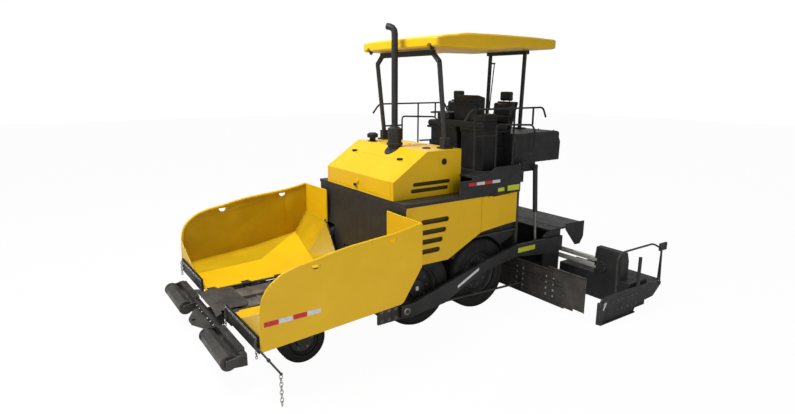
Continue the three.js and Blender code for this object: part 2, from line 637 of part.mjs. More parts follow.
function controlConsole() {
  const floor = DECK.top + SEAT;
  const pedestals = [[-560, -200], [RAIL_X - 730, RAIL_X - 250]].map(
    (x) => plateX([[880, floor], [1120, floor], [1100, 2640], [920, 2640]], x),
  );
  const housing = plateX(
    [[850, 2600], [1140, 2560], [1150, 2700], [1060, 2820], [880, 2820]], [-620, RAIL_X - 190],
  );
  const screen = plateX([[990, 2810], [1100, 2810], [1080, 3070], [1000, 3070]], [60, 500]);
  return join(pedestals, housing, screen);
}

function rearHousing() {
  const y = [1452, 2480];
  const z = [2052, 2508];
  const outline = [
    [y[0], z[0]], [y[1], z[0]], [y[1] + 10, z[1] - 170], [2400, z[1]], [y[0] + 300, z[1]],
    [y[0] + 130, z[1] - 30], [y[0] + 20, z[1] - 150],
  ];
  const body = plateX(outline, [-1000, 1000]);
  const opening = [
    [y[0] + 40, z[0] + 60], [y[0] + 330, z[0] + 60], [y[0] + 330, z[1] - 60], [y[0] + 150, z[1] - 70],
    [y[0] + 50, z[1] - 190],
  ];
  const recesses = bothSides((side) => plateX(opening, side > 0 ? [700, 1010] : [-1010, -700]));
  const carrier = block(
    [-RAIL_X + 10, RAIL_X - 10], [BODY_REAR + 30 + SEAT, BODY_REAR + 120], [1800, z[0] + 10],
  );
  const ears = bothSides((side) => {
    const span = side > 0 ? [RAIL_X - 40, RAIL_X + 20] : [-RAIL_X - 20, -RAIL_X + 40];
    return block(span, [BODY_REAR + 60, LIFT.top[0] + 50], [1960, 2100]);
  });
  const pins = bothSides(
    (side) => bar([side * RAIL_X, ...LIFT.top], [side * (LIFT.x + 34), ...LIFT.top], LIFT.pin, 16),
  );
  return join(cut(body, recesses), carrier, ears, pins);
}

function guardRail() {
  const x = RAIL_X;
  const base = DECK.top + SEAT;
  const r = 15;
  const top = 2890;
  const upper = tube([[x, 330, 2742], [x, 455, top], [x, 1864, top], [x, 1934, 2744]], r, 60);
  const loop = [[924, base], [924, 2673], [1660, 2640], [1740, 2500], [1692, 2226], [1310, 2233]];
  const lower = tube(loop.map(([y, z]) => [x, y, z]), r, 60);
  const posts = [tube([[x, 1270, base], [x, 1270, top]], r), tube([[x, 1655, 2640], [x, 1655, top]], r)];
  const front = tube([[x, 520, base], [x, 520, top]], r);
  const mid = tube([[x, 520, 2520], [x, 924, 2520]], r);
  return join(upper, lower, posts, front, mid);
}

// ---- Roof ----
function frontRoofFrame() {
  const head = ROOF.bottom - SEAT;
  const [yTop, yBase] = [184, 310];
  const parts = [block([-640, 640], [yTop - 38, yTop + 38], [head - 75, head])];
  for (const side of [1, -1]) {
    const corner = [side * FRONT_POST_X, yTop, head - 162];
    parts.push(bar([side * 620, yTop, head - 36], corner, 36, 8));
    parts.push(bar(corner, [side * FRONT_POST_X, yBase, HOOD_TOP + 60], 34, 8));
    const span = side > 0 ? [690, 850] : [-850, -690];
    parts.push(block(span, [yBase - 80, yBase + 90], [HOOD_TOP + SEAT, HOOD_TOP + 24]));
    const foot = [side * FRONT_POST_X - 45, side * FRONT_POST_X + 45];
    parts.push(block(foot, [yBase - 55, yBase + 55], [HOOD_TOP + 10, HOOD_TOP + 150]));
  }
  return join(parts);
}

function rearRoofFrame() {
  const head = ROOF.bottom + ROOF.rearRise - SEAT;
  const y = 2240;
  const parts = [block([-450, 450], [y - 35, y + 35], [head - 55, head])];
  for (const side of [1, -1]) {
    parts.push(bar([side * REAR_POST_X, y, head - 30], [side * REAR_POST_X, y - 40, 2515], 32, 8));
    const span = side > 0 ? [REAR_POST_X - 70, REAR_POST_X + 70] : [-REAR_POST_X - 70, -REAR_POST_X + 70];
    parts.push(block(span, [y - 110, y + 30], [2508 + SEAT, 2530]));
  }
  parts.push(bar([-REAR_POST_X + 90, y + 10, head - 182], [-REAR_POST_X + 50, y - 30, 2800], 9, 8));
  parts.push(block([-REAR_POST_X, -REAR_POST_X + 100], [y - 5, y + 25], [head - 192, head - 167]));
  parts.push(block([-REAR_POST_X, -REAR_POST_X + 60], [y - 45, y - 15], [2790, 2815]));
  return join(parts);
}

function roof() {
  const { front, rear, half, bottom, rearRise, thick } = ROOF;
  const crown = bottom + thick;
  const side = [
    [front, bottom], [700, bottom], [1100, bottom + rearRise], [rear, bottom + rearRise], [rear, crown - 15],
    [1700, crown],
    [680, crown - 5], [front + 30, crown - 95], [front - 22, bottom + 70],
  ];
  const plan = [
    [-half + 130, front - 22], [half - 130, front - 22], [half, front + 130], [half + 25, 700], [half, rear],
    [-half, rear],
    [-half - 25, 700], [-half, front + 130],
  ];
  const bulk = plateX(side, [-half - 40, half + 40]).intersect(plateZ(plan, [bottom - 100, crown + 10]));
  const lamps = bothSides(
    (s) => bar([s * 763, front - 60, bottom + 8], [s * 763, front + 60, bottom + 8], 48, 16),
  );
  return cut(bulk, lamps);
}

// ---- Screed ----
function towArm() {
  const outline = [
    [TOW.y - 90, 250], [TOW.y + 60, 236], [-60, 300], [560, 596], [1300, 712], [SCREED.front - 2, 640],
    [SCREED.front - 2, 880], [1290, 888],
    [600, 745], [-560, 430], [TOW.y - 90, 420],
  ];
  const span = [ARM.inner, ARM.inner + ARM.thick];
  const bore = bar([ARM.inner - 20, TOW.y, TOW.z], [ARM.inner + 90, TOW.y, TOW.z], TOW_PIN + PIN_FIT, 16);
  const heel = block(span, [SCREED.front - 60, SCREED.front + 380], [640, 876]);
  const boss = bar([LIFT.x + LIFT.rod + SEAT, ...LIFT.foot], [ARM.inner + 10, ...LIFT.foot], 26, 16);
  return join(cut(plateX(outline, span), bore), heel, boss);
}

function screedBody() {
  const { half, front, rear, bottom, top, walk } = SCREED;
  const body = plateX(
    [[front, 120], [front + 60, bottom], [rear, bottom], [rear, top], [front, top]], [-half, half],
  );
  const cheek = [[front, 300], [rear, 300], [rear, walk - 20], [front + 120, walk - 20], [front, 900]];
  const parts = [body];
  for (const side of [1, -1]) {
    const outer = ARM.inner - SEAT;
    const span = side > 0 ? [half - 30, outer] : [-outer, -half + 30];
    parts.push(plateX(cheek, span));
  }
  parts.push(block([-half, half], [front + 120, WALK_REAR], [walk - 30, walk]));
  parts.push(block([-half, half], [rear - 60, rear], [top - 10, walk - 20]));
  const { half: guideHalf, front: guideFront, rear: guideRear, bottom: guideBottom, top: guideTop } = GUIDE_BEAM;
  const bores = [];
  for (const y of Object.values(TUBE_Y)) {
    for (const z of TUBE.heights) bores.push(
      bar([-guideHalf - 20, y, z], [guideHalf + 20, y, z], TUBE.radius + PIN_FIT, 16),
    );
  }
  const beam = cut(block([-guideHalf, guideHalf], [guideFront, guideRear], [guideBottom, guideTop]), bores);
  const hanger = block([-300, 300], [guideRear - 20, guideRear], [guideTop - 10, walk - 20]);
  const flank = [
    [WALK_REAR - 80, 640], [WALK_REAR, 760], [WALK_REAR, walk + 30], [WALK_REAR - 450, walk + 40],
    [WALK_REAR - 450, walk - 60], [WALK_REAR - 190, 640],
  ];
  const flanks = bothSides((side) => plateX(flank, side > 0 ? [half - 20, half] : [-half, -half + 20]));
  return join(parts, beam, hanger, flanks);
}

function extension(side) {
  const { inner, outer, front, rear, bottom, top } = EXTENSION;
  const tubeY = TUBE_Y[side];
  const body = plateX(
    [[front, 120], [front + 50, bottom], [rear, bottom], [rear, top], [front, top]], [inner, outer],
  );
  const arch = [
    [front, top - 10], [front + 178, top - 10], [front + 178, 700], [front + 130, 840], [front + 20, 840],
    [front, 720],
  ];
  const bracket = plateX(arch, [TUBE.outer - 5, outer - 150]);
  const tubes = TUBE.heights.map(
    (z) => bar([TUBE.inner, tubeY, z], [TUBE.outer + 40, tubeY, z], TUBE.radius, 16),
  );
  const step = block([inner + 40, outer - 4], [rear - 20, rear + 350], [330, 352]);
  const shelf = block([inner + 40, outer - 4], [rear - 10, rear + 20], [200, 345]);
  return join(body, bracket, tubes, step, shelf);
}

function endGate() {
  const { inner, outer, front, rear, bottom, top } = GATE;
  const outline = [
    [front, 70], [front + 60, bottom + 4], [rear - 660, bottom + 4], [rear - 600, 120], [rear - 180, 150],
    [rear, 300],
    [rear, 345], [rear - 180, 380], [front + 305, top], [front + 60, top - 20], [front, 300],
  ];
  const plate = plateX(outline, [inner + 30, inner + 52]);
  const sole = block([inner + 8, outer], [front + 20, rear - 660], [bottom, bottom + 18]);
  const tip = [[inner + 8, front + 30], [outer, front + 60], [outer - 10, front], [inner + 20, front - 10]];
  const nose = plateZ(tip, [bottom + 10, 330]);
  const mountsY = [EXTENSION.front + 78, EXTENSION.rear - 80];
  const mounts = mountsY.map((y) => block([EXTENSION.outer + SEAT, inner + 34], [y - 40, y + 40], [180, 330]));
  const railCorners = [
    [front + 395, 360], [front + 365, 880], [front + 465, 967], [rear - 270, 967], [rear - 20, 850],
    [rear - 40, 330],
  ];
  const rail = tube(railCorners.map(([y, z]) => [inner + 20, y, z]), 14, 60);
  const post = bar([inner + 34, rear - 580, 300], [inner + 34, rear - 580, 820], 24);
  const panelArm = bar([outer - 30, rear - 30, 320], [outer - 30, rear - 70, 850], 12);
  const shelf = block([inner + 34, outer - 18], [rear - 60, rear - 10], [300, 345]);
  const panel = block([outer - 45, outer - 15], [rear - 130, rear + 40], [840, 950]);
  return join(plate, sole, nose, mounts, rail, post, shelf, panelArm, panel);
}

function auger() {
  const { y, z, radius, inner, outer } = AUGER;
  const shaft = bar([inner, y, z], [outer, y, z], 42, 12);
  const turns = 3;
  const perTurn = 6;
  const step = (outer - inner - 90) / (turns * perTurn);
  const blades = [];
  for (let i = 0; i < turns * perTurn; i++) {
    const angle = (i * 2 * Math.PI) / perTurn;
    const reach = 2 * Math.PI / perTurn + 0.12;
    const corners = [angle, angle + reach].map((a) => [y + radius * Math.cos(a), z + radius * Math.sin(a)]);
    const x0 = inner + 30 + i * step;
    blades.push(plateX([[y, z], ...corners], [x0, x0 + step + 8]));
  }
  return join(shaft, blades);
}

function augerFrame() {
  const rear = BODY_REAR + 30 + SEAT;
  const beam = block([-700, 700], [rear, rear + 60], [560, 700]);
  const hanger = plateX([
    [rear + 20, 570], [rear + 20, 690], [AUGER.y - 168, 690], [AUGER.y + 40, 420], [AUGER.y + 40, 260],
    [AUGER.y - 45, 260],
    [CONVEYOR.rear + 20, 500], [CONVEYOR.rear + 20, 570],
  ], [-30, 30]);
  const reach = AUGER.inner - SEAT;
  const bearing = bar([-reach, AUGER.y, AUGER.z], [reach, AUGER.y, AUGER.z], 62, 16);
  const plates = [];
  for (const side of [1, -1]) {
    const span = (from, to) => (side > 0 ? [from, to] : [-to, -from]);
    const steps = [[640, 1225, 70, 445], [1215, 1625, 68, 430], [1615, 2010, 70, 415], [2000, 2160, 85, 430]];
    for (const [index, [from, to, low, high]] of steps.entries()) {
      const first = index % 2;
      plates.push(block(span(from, to), [AUGER_PLATES[first], AUGER_PLATES[first + 2]], [low, high]));
    }
    plates.push(block(span(600, 700), [rear + 30, AUGER_PLATES[2]], [400, 600]));
    plates.push(block(span(600, 2000), [AUGER_PLATES[0] - 26, AUGER_PLATES[0] + 4], [405, 430]));
  }
  return join(beam, hanger, bearing, plates);
}

// ---- Lift cylinders ----
function liftLine() {
  const [topY, topZ] = LIFT.top;
  const [footY, footZ] = LIFT.foot;
  const length = Math.hypot(footY - topY, footZ - topZ);
  return { length, dir: [(footY - topY) / length, (footZ - topZ) / length] };
}
const alongLift = (distance) => {
  const { dir } = liftLine();
  return [LIFT.x, LIFT.top[0] + dir[0] * distance, LIFT.top[1] + dir[1] * distance];
};

function liftBarrel() {
  const eye = bar([LIFT.x - 26, ...LIFT.top], [LIFT.x + 26, ...LIFT.top], 34, 16);
  const barrel = bar(alongLift(20), alongLift(LIFT.barrel), LIFT.radius, 16);
  const bore = bar(alongLift(70), alongLift(LIFT.barrel + 20), LIFT.rod + 3, 16);
  const pin = bar([LIFT.x - 60, ...LIFT.top], [LIFT.x + 60, ...LIFT.top], LIFT.pin + PIN_FIT, 16);
  return cut(join(eye, barrel), bore, pin);
}

function liftRod() {
  const { length } = liftLine();
  const rod = bar(alongLift(length - 690), alongLift(length - 20), LIFT.rod, 16);
  const eye = bar([LIFT.x - LIFT.rod, ...LIFT.foot], [LIFT.x + LIFT.rod, ...LIFT.foot], 32, 16);
  return join(rod, eye);
}

// ---- Assembly ----
const paver = new THREE.Group();

function place(name, made, material, flip = false) {
  const mesh = new THREE.Mesh(made.isBufferGeometry ? made : geometryOf(made), material);
  mesh.name = name;
  if (flip) mesh.scale.x = -1;
  paver.add(mesh);
}

function pair(name, made, material) {
  const geometry = geometryOf(made);
  place(name + "_left", geometry, material);
  place(name + "_right", geometry, material, true);
}

place("chassis", chassis(), grey);
place("slat_conveyors", slatConveyors(), steel);
place("bulkhead", bulkhead(), grey);
place("hood", hood(), yellow);
place("hood_cover", hoodCover(), yellow);
place("air_intake", airIntake(), black);
place("exhaust_stack", exhaustStack(), grey);
place("engine_block", engineBlock(), grey);
place("deck", deck(), grey);
place("operator_seats", operatorSeats(), leatherette);
place("control_console", controlConsole(), black);
place("rear_housing", rearHousing(), grey);
place("front_roof_frame", frontRoofFrame(), grey);
place("rear_roof_frame", rearRoofFrame(), grey);
place("roof", roof(), yellow);
place("front_axle", frontAxle(), grey);
place("tie_rod", tieRod(), steel);
place("push_beam", pushBeam(), grey);
place("guide_rod", guideRod(), steel);
place("auger_frame", augerFrame(), grey);
place("screed_body", screedBody(), grey);
pair("guard_rail", guardRail(), black);
pair("side_panel", sidePanel(), yellow);
pair("rear_door", rearDoor(), yellow);
pair("hopper_wing", wing(), yellow);
pair("hopper_flap", hopperFlap(), black);
pair("push_roller", pushRoller(), steel);
pair("knuckle", knuckle(), grey);
pair("front_wheel", frontWheel(), rubber);
pair("drive_housing", driveHousing(), grey);
for (const [index, y] of REAR_AXLES_Y.entries()) {
  const letter = "ab"[index];
  pair("drive_tyre_" + letter, rearTyre(y), rubber);
  pair("drive_rim_" + letter, rearRim(y), grey);
}
pair("tow_arm", towArm(), grey);
place("extension_left", extension("left"), grey);
place("extension_right", extension("right"), grey, true);
pair("end_gate", endGate(), grey);
pair("auger", auger(), steel);
pair("lift_barrel", liftBarrel(), grey);
pair("lift_rod", liftRod(), chrome);

export default paver;
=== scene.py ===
# %% [markdown]
# # An asphalt paver, finished in Blender
#
# The machine is a wheeled road paver. A folding hopper at the front takes the hot mix, a slat conveyor
# carries it back under the engine, and a wide screed behind lays it flat. Its frame, with every part at
# its real size and every joint, is loaded first and is never moved. This lesson then makes each surface
# look as it does on the real machine: enamelled sheet, cast and cut steel, rubber, padding and chrome.

# %% Load the frame
import json
import math

import bpy
from mathutils import Matrix, Quaternion, Vector

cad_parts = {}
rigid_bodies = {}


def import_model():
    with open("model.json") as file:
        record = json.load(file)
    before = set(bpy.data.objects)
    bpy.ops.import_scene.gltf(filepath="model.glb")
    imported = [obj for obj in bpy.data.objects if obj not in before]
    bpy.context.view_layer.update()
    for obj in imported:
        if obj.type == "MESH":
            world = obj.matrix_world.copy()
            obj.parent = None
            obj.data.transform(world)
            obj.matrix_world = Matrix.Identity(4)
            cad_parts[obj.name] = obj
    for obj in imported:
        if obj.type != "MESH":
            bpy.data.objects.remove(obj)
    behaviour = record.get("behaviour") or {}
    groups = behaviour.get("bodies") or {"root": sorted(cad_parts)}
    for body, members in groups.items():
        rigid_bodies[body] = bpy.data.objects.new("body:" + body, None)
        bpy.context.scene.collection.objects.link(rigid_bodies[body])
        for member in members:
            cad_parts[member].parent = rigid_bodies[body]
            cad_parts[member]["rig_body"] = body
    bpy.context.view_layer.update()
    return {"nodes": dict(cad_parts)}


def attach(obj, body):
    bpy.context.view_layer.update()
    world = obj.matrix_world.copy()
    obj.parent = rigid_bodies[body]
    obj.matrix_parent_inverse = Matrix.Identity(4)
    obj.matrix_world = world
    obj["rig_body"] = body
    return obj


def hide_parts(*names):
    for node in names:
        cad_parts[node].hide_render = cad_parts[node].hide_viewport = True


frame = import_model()

# %% [markdown]
# ## Camera
#
# The camera stands low in front of the machine's left side. A short lens stands close, so the hopper
# looks large and the screed recedes. It is made first, because everything else is judged through it.

# %% Camera
CAMERA_PLACE = Vector((6.678, -4.574, 3.252))
CAMERA_AZIMUTH = math.radians(55.374)
CAMERA_PITCH = math.radians(12.93)
CAMERA_ROLL = math.radians(0.139)
CAMERA_LENS = 24.67

bpy.ops.object.camera_add(location=CAMERA_PLACE)
camera = bpy.context.object
camera.name = "camera"
away = Vector((
    math.sin(CAMERA_AZIMUTH) * math.cos(CAMERA_PITCH),
    -math.cos(CAMERA_AZIMUTH) * math.cos(CAMERA_PITCH),
    math.sin(CAMERA_PITCH),
))
camera.rotation_mode = "QUATERNION"
level = (-away).to_track_quat("-Z", "Y")
camera.rotation_quaternion = level @ Quaternion((0, 0, 1), CAMERA_ROLL)
camera.data.lens = CAMERA_LENS
camera.data.sensor_width = 36
bpy.context.scene.camera = camera
print("camera at", tuple(camera.location))

# %% [markdown]
# ## Floor and light
#
# A studio sweep is the plainest stage: a pale floor that runs out to a white surround. The surround is
# white only to the camera and to mirror-like surfaces. What lights the paint is a soft grey dome and
# three large lamps, so a colour renders about as it is mixed.

# %% Adding a shader node
def added(tree, kind, inputs=None, **settings):
    """A new shader node with its settings, and with values for some of its inputs."""
    node = tree.nodes.new("ShaderNode" + kind)
    for name, value in settings.items():
        setattr(node, name, value)
    for name, value in (inputs or {}).items():
        node.inputs[name].default_value = value
    return node


# %% World
DOME_STRENGTH = 0.26
SEEN_IN_GLOSS = 0.22

world = bpy.data.worlds.new("studio")
bpy.context.scene.world = world
world.use_nodes = True
tree = world.node_tree
link = tree.links.new
dome = tree.nodes["Background"]
dome.inputs["Color"].default_value = (1, 1, 1, 1)
dome.inputs["Strength"].default_value = DOME_STRENGTH
surround = added(tree, "Background", {"Color": (1, 1, 1, 1), "Strength": 1})
path = added(tree, "LightPath")
seen = added(tree, "Math", operation="MAXIMUM")
link(path.outputs["Is Camera Ray"], seen.inputs[0])
link(path.outputs["Is Transmission Ray"], seen.inputs[1])
mirrored = added(tree, "Math", {1: SEEN_IN_GLOSS}, operation="MULTIPLY_ADD")
link(path.outputs["Is Glossy Ray"], mirrored.inputs[0])
link(seen.outputs[0], mirrored.inputs[2])
mix = added(tree, "MixShader")
for number, source in enumerate((mirrored, dome, surround)):
    link(source.outputs[0], mix.inputs[number])
link(mix.outputs[0], tree.nodes["World Output"].inputs["Surface"])

# %% Lamps
LAMPS = [
    ("key", (-1.0, -4.5, 9.0), 4.0, 900),
    ("fill", (9.0, -1.5, 2.2), 5.0, 150),
    ("back", (-6.0, 5.0, 7.0), 5.0, 120),
]
for name, place, size, power in LAMPS:
    bpy.ops.object.light_add(type="AREA", location=place)
    lamp = bpy.context.object
    lamp.name = name + "_lamp"
    lamp.data.size = size
    lamp.data.energy = power
    lamp.rotation_mode = "QUATERNION"
    lamp.rotation_quaternion = (Vector((0, 0, 1.2)) - Vector(place)).to_track_quat("-Z", "Y")
bpy.context.scene.view_settings.view_transform = "Standard"

# %% Floor
GLOW_SHARE = 0.97

bpy.ops.mesh.primitive_plane_add(size=90, location=(0, 0, -0.002))
floor = bpy.context.object
floor.name = "floor"
pale = bpy.data.materials.new("studio_floor")
pale.use_nodes = True
tree = pale.node_tree
link = tree.links.new
matt = tree.nodes["Principled BSDF"]
matt.inputs["Base Color"].default_value = (0.86, 0.86, 0.86, 1)
matt.inputs["Roughness"].default_value = 0.9
glow = added(tree, "Emission")
path = added(tree, "LightPath")
share = added(tree, "Math", {1: GLOW_SHARE}, operation="MULTIPLY")
link(path.outputs["Is Camera Ray"], share.inputs[0])
blend = added(tree, "MixShader")
for number, source in enumerate((share, matt, glow)):
    link(source.outputs[0], blend.inputs[number])
link(blend.outputs[0], tree.nodes["Material Output"].inputs["Surface"])
floor.data.materials.append(pale)

# %% [markdown]
# ## Finishes
#
# A finish is more than a colour. Sprayed enamel has a faint orange peel and fine dust in its low
# spots, cut plate loses paint at its edges, and rubber is dull and slightly mottled. Each finish below
# mixes two close tones by a slow noise, varies the gloss by a second one, and roughens the surface
# with a fine bump. All of them read object coordinates, because every piece has its place in its mesh.

# %% A finish from noise, wear and bump
def new_finish(name, tones, gloss, metal=0.0, grain=(60.0, 0.15), wear=None, mottle=2.5, coat=0.0):
    """tones: two colours; gloss: lowest and highest roughness; grain: scale and depth of the bump;
    wear: the colour under the paint, where edges are rubbed; mottle: how often the tones change."""
    finish = bpy.data.materials.new(name)
    finish.use_nodes = True
    tree = finish.node_tree
    link = tree.links.new
    shader = tree.nodes["Principled BSDF"]
    constants = {"Metallic": metal, "Coat Weight": coat, "Coat Roughness": 0.12, "Specular IOR Level": 0.3}
    for quality, value in constants.items():
        shader.inputs[quality].default_value = value
    place = added(tree, "TexCoord")

    def noise(**inputs):
        texture = added(tree, "TexNoise", inputs)
        link(place.outputs["Object"], texture.inputs["Vector"])
        return texture.outputs["Fac"]

    def ranged(source, low, high, to_low=0.0, to_high=1.0):
        limits = {"From Min": low, "From Max": high, "To Min": to_low, "To Max": to_high}
        span = added(tree, "MapRange", limits)
        link(source, span.inputs["Value"])
        return span.outputs["Result"]

    colour = added(tree, "ValToRGB")
    for stop, position, tone in zip(colour.color_ramp.elements, (0.36, 0.66), tones):
        stop.position = position
        stop.color = (*tone, 1)
    link(noise(Scale=mottle, Detail=6, Roughness=0.62), colour.inputs["Fac"])
    last = colour.outputs["Color"]

    if wear:
        agree = added(tree, "VectorMath", operation="DOT_PRODUCT")
        link(added(tree, "NewGeometry").outputs["Normal"], agree.inputs[0])
        link(added(tree, "Bevel", {"Radius": 0.007}, samples=4).outputs["Normal"], agree.inputs[1])
        worn = added(tree, "Math", operation="MULTIPLY")
        link(ranged(agree.outputs["Value"], 0.995, 0.9), worn.inputs[0])
        link(ranged(noise(Scale=9, Detail=5), 0.45, 0.65, 0.0, 0.8), worn.inputs[1])
        rubbed = added(tree, "Mix", {"B": (*wear, 1)}, data_type="RGBA")
        link(worn.outputs["Value"], rubbed.inputs["Factor"])
        link(last, rubbed.inputs["A"])
        last = rubbed.outputs["Result"]
    link(last, shader.inputs["Base Color"])

    link(ranged(noise(Scale=mottle * 3.1, Detail=4), 0.3, 0.7, *gloss), shader.inputs["Roughness"])
    bump = added(tree, "Bump", {"Strength": grain[1], "Distance": 0.002})
    link(noise(Scale=grain[0], Detail=3), bump.inputs["Height"])
    link(bump.outputs["Normal"], shader.inputs["Normal"])
    return finish


# %% The machine's finishes
BARE = (0.22, 0.21, 0.2)
yellow = new_finish("yellow_enamel", ((0.8, 0.475, 0.005), (0.86, 0.525, 0.008)), (0.28, 0.42),
                    grain=(90, 0.06), mottle=1.3, coat=0.08)
dark = new_finish("dark_enamel", ((0.021, 0.021, 0.0215), (0.034, 0.034, 0.034)), (0.38, 0.6),
                  grain=(140, 0.12), wear=BARE, mottle=3)
# Darker yellow for the hopper's inner walls: painted shade where the lamps barely reach inside the hopper.
# Its rubbed edges are real wear.
hopper_inside = new_finish("hopper_inside", ((0.5, 0.31, 0.003), (0.6, 0.375, 0.006)), (0.32, 0.5),
                           grain=(90, 0.08), wear=BARE, mottle=1.8, coat=0.05)
# A dark olive for sheets set behind the louvre slots: painted shade for the dark inside of the hood and
# panels.
shade = new_finish("louvre_shade", ((0.04, 0.031, 0.004), (0.065, 0.05, 0.008)), (0.5, 0.7), mottle=4)
plate_grey = new_finish("scuffed_plate", ((0.038, 0.036, 0.033), (0.075, 0.07, 0.064)), (0.4, 0.65), 0.2,
                        grain=(70, 0.2), wear=BARE, mottle=4)
black = new_finish("black_enamel", ((0.012, 0.012, 0.012), (0.02, 0.02, 0.02)), (0.3, 0.5),
                   grain=(150, 0.1), wear=(0.1, 0.1, 0.1))
moulding = new_finish("moulded_black", ((0.009, 0.009, 0.009), (0.017, 0.0165, 0.0165)), (0.45, 0.62),
                      grain=(420, 0.35), mottle=6)
steel = new_finish("worn_steel", ((0.16, 0.155, 0.145), (0.27, 0.262, 0.25)), (0.3, 0.52), 0.75,
                   grain=(55, 0.2), mottle=6)
zinc = new_finish("zinc_bolts", ((0.42, 0.42, 0.41), (0.6, 0.6, 0.58)), (0.25, 0.4), 0.9, mottle=20)
chrome = new_finish("hard_chrome", ((0.7, 0.68, 0.62), (0.8, 0.78, 0.74)), (0.1, 0.2), 0.55,
                    grain=(25, 0.02), mottle=2)
tyre_rubber = new_finish("tyre_rubber", ((0.007, 0.007, 0.007), (0.014, 0.0135, 0.013)), (0.6, 0.8),
                         grain=(180, 0.3), mottle=5)
flap_rubber = new_finish("flap_rubber", ((0.01, 0.01, 0.01), (0.018, 0.018, 0.018)), (0.45, 0.65),
                         grain=(90, 0.3), mottle=6)
leather = new_finish("seat_leather", ((0.016, 0.016, 0.016), (0.026, 0.026, 0.025)), (0.4, 0.55),
                     grain=(700, 0.5), mottle=8)
walk_grey = new_finish("walkway_grit", ((0.19, 0.189, 0.187), (0.28, 0.278, 0.275)), (0.7, 0.9),
                       grain=(900, 0.9), mottle=5)
red_tape = new_finish("red_reflector", ((0.55, 0.02, 0.03), (0.68, 0.03, 0.045)), (0.25, 0.35), mottle=30)
white_tape = new_finish("white_reflector", ((0.62, 0.62, 0.62), (0.74, 0.74, 0.74)), (0.25, 0.35), mottle=30)
lime_label = new_finish("blank_label", ((0.52, 0.6, 0.03), (0.6, 0.68, 0.05)), (0.3, 0.4), mottle=15)
print(len(bpy.data.materials), "finishes")

# %% [markdown]
# ## Workbench
#
# These are the few moves that every piece is made with: a block, a plate sawn to an outline, a round
# bar, a turned body, a bent tube, and easing the edges. Easing matters most on a machine: light
# catches a rounded edge, and a perfectly sharp one always looks like a drawing.

# %% Selecting and settling
LEFT, AHEAD, UP = (1, 0, 0), (0, -1, 0), (0, 0, 1)
MERGE = 1e-5


def nothing_selected():
    if bpy.context.object and bpy.context.object.mode != "OBJECT":
        bpy.ops.object.mode_set(mode="OBJECT")
    bpy.ops.object.select_all(action="DESELECT")


def alone(piece):
    nothing_selected()
    piece.select_set(True)
    bpy.context.view_layer.objects.active = piece
    return piece


def settle(name):
    """Names the newest piece and moves its place into its mesh."""
    bpy.ops.object.transform_apply(location=True, rotation=True, scale=True)
    piece = bpy.context.object
    piece.name = name
    return piece


def opened(piece):
    """Opens a piece in edit mode, with the whole mesh selected."""
    alone(piece)
    bpy.ops.object.mode_set(mode="EDIT")
    bpy.ops.mesh.select_all(action="SELECT")


def closed():
    bpy.ops.object.mode_set(mode="OBJECT")


def tidy(piece):
    """Merges what lies on itself and turns every face outwards."""
    opened(piece)
    bpy.ops.mesh.remove_doubles(threshold=MERGE)
    bpy.ops.mesh.delete_loose()
    bpy.ops.mesh.select_all(action="SELECT")
    bpy.ops.mesh.normals_make_consistent(inside=False)
    closed()
    return piece


# %% Making shapes
ROUND_ANGLE = 50


def block(name, low, high):
    nothing_selected()
    middle = [(a + b) / 2 for a, b in zip(low, high)]
    size = [b - a for a, b in zip(low, high)]
    bpy.ops.mesh.primitive_cube_add(size=1, location=middle, scale=size)
    return settle(name)


def rod(name, start, end, radius, far_radius=None, sides=24):
    nothing_selected()
    start, end = Vector(start), Vector(end)
    along = end - start
    bpy.ops.mesh.primitive_cone_add(
        vertices=sides, radius1=radius, radius2=radius if far_radius is None else far_radius,
        depth=along.length, location=(start + end) / 2, rotation=along.to_track_quat("Z", "Y").to_euler())
    return settle(name)


def sawn(name, outline, axis, low, high):
    """A plate with its outline across the two other axes, in X, Y, Z order, extruded from low to high."""
    nothing_selected()
    bpy.ops.mesh.primitive_circle_add(vertices=len(outline), fill_type="NGON")
    piece = bpy.context.object
    across, up = [k for k in range(3) if k != axis]
    for corner, (a, b) in zip(piece.data.vertices, outline):
        corner.co[axis], corner.co[across], corner.co[up] = low, a, b
    travel = [0, 0, 0]
    travel[axis] = high - low
    opened(piece)
    bpy.ops.mesh.extrude_region_move(TRANSFORM_OT_translate={"value": travel})
    closed()
    piece.name = name
    return tidy(piece)


def turned(name, profile, centre, axis, steps=48):
    """Spins a closed outline of (radius, place along the axis) pairs about an axis through centre."""
    nothing_selected()
    bpy.ops.mesh.primitive_circle_add(vertices=len(profile), fill_type="NOTHING")
    piece = bpy.context.object
    along = Vector(axis).normalized()
    outwards = along.orthogonal().normalized()
    for corner, (radius, place) in zip(piece.data.vertices, profile):
        corner.co = Vector(centre) + outwards * radius + along * place
    opened(piece)
    bpy.ops.mesh.spin(steps=steps, angle=2 * math.pi, center=centre, axis=along)
    closed()
    piece.name = name
    return tidy(piece)


def ball(name, centre, radius, segments, rings):
    nothing_selected()
    bpy.ops.mesh.primitive_uv_sphere_add(segments=segments, ring_count=rings, radius=radius, location=centre)
    piece = settle(name)
    bpy.ops.object.shade_smooth()
    return piece


def smooth(piece, angle):
    """Shades a piece smooth, but keeps the edges that are sharper than an angle in degrees."""
    alone(piece)
    bpy.ops.object.shade_smooth_by_angle(angle=math.radians(angle))
    return piece


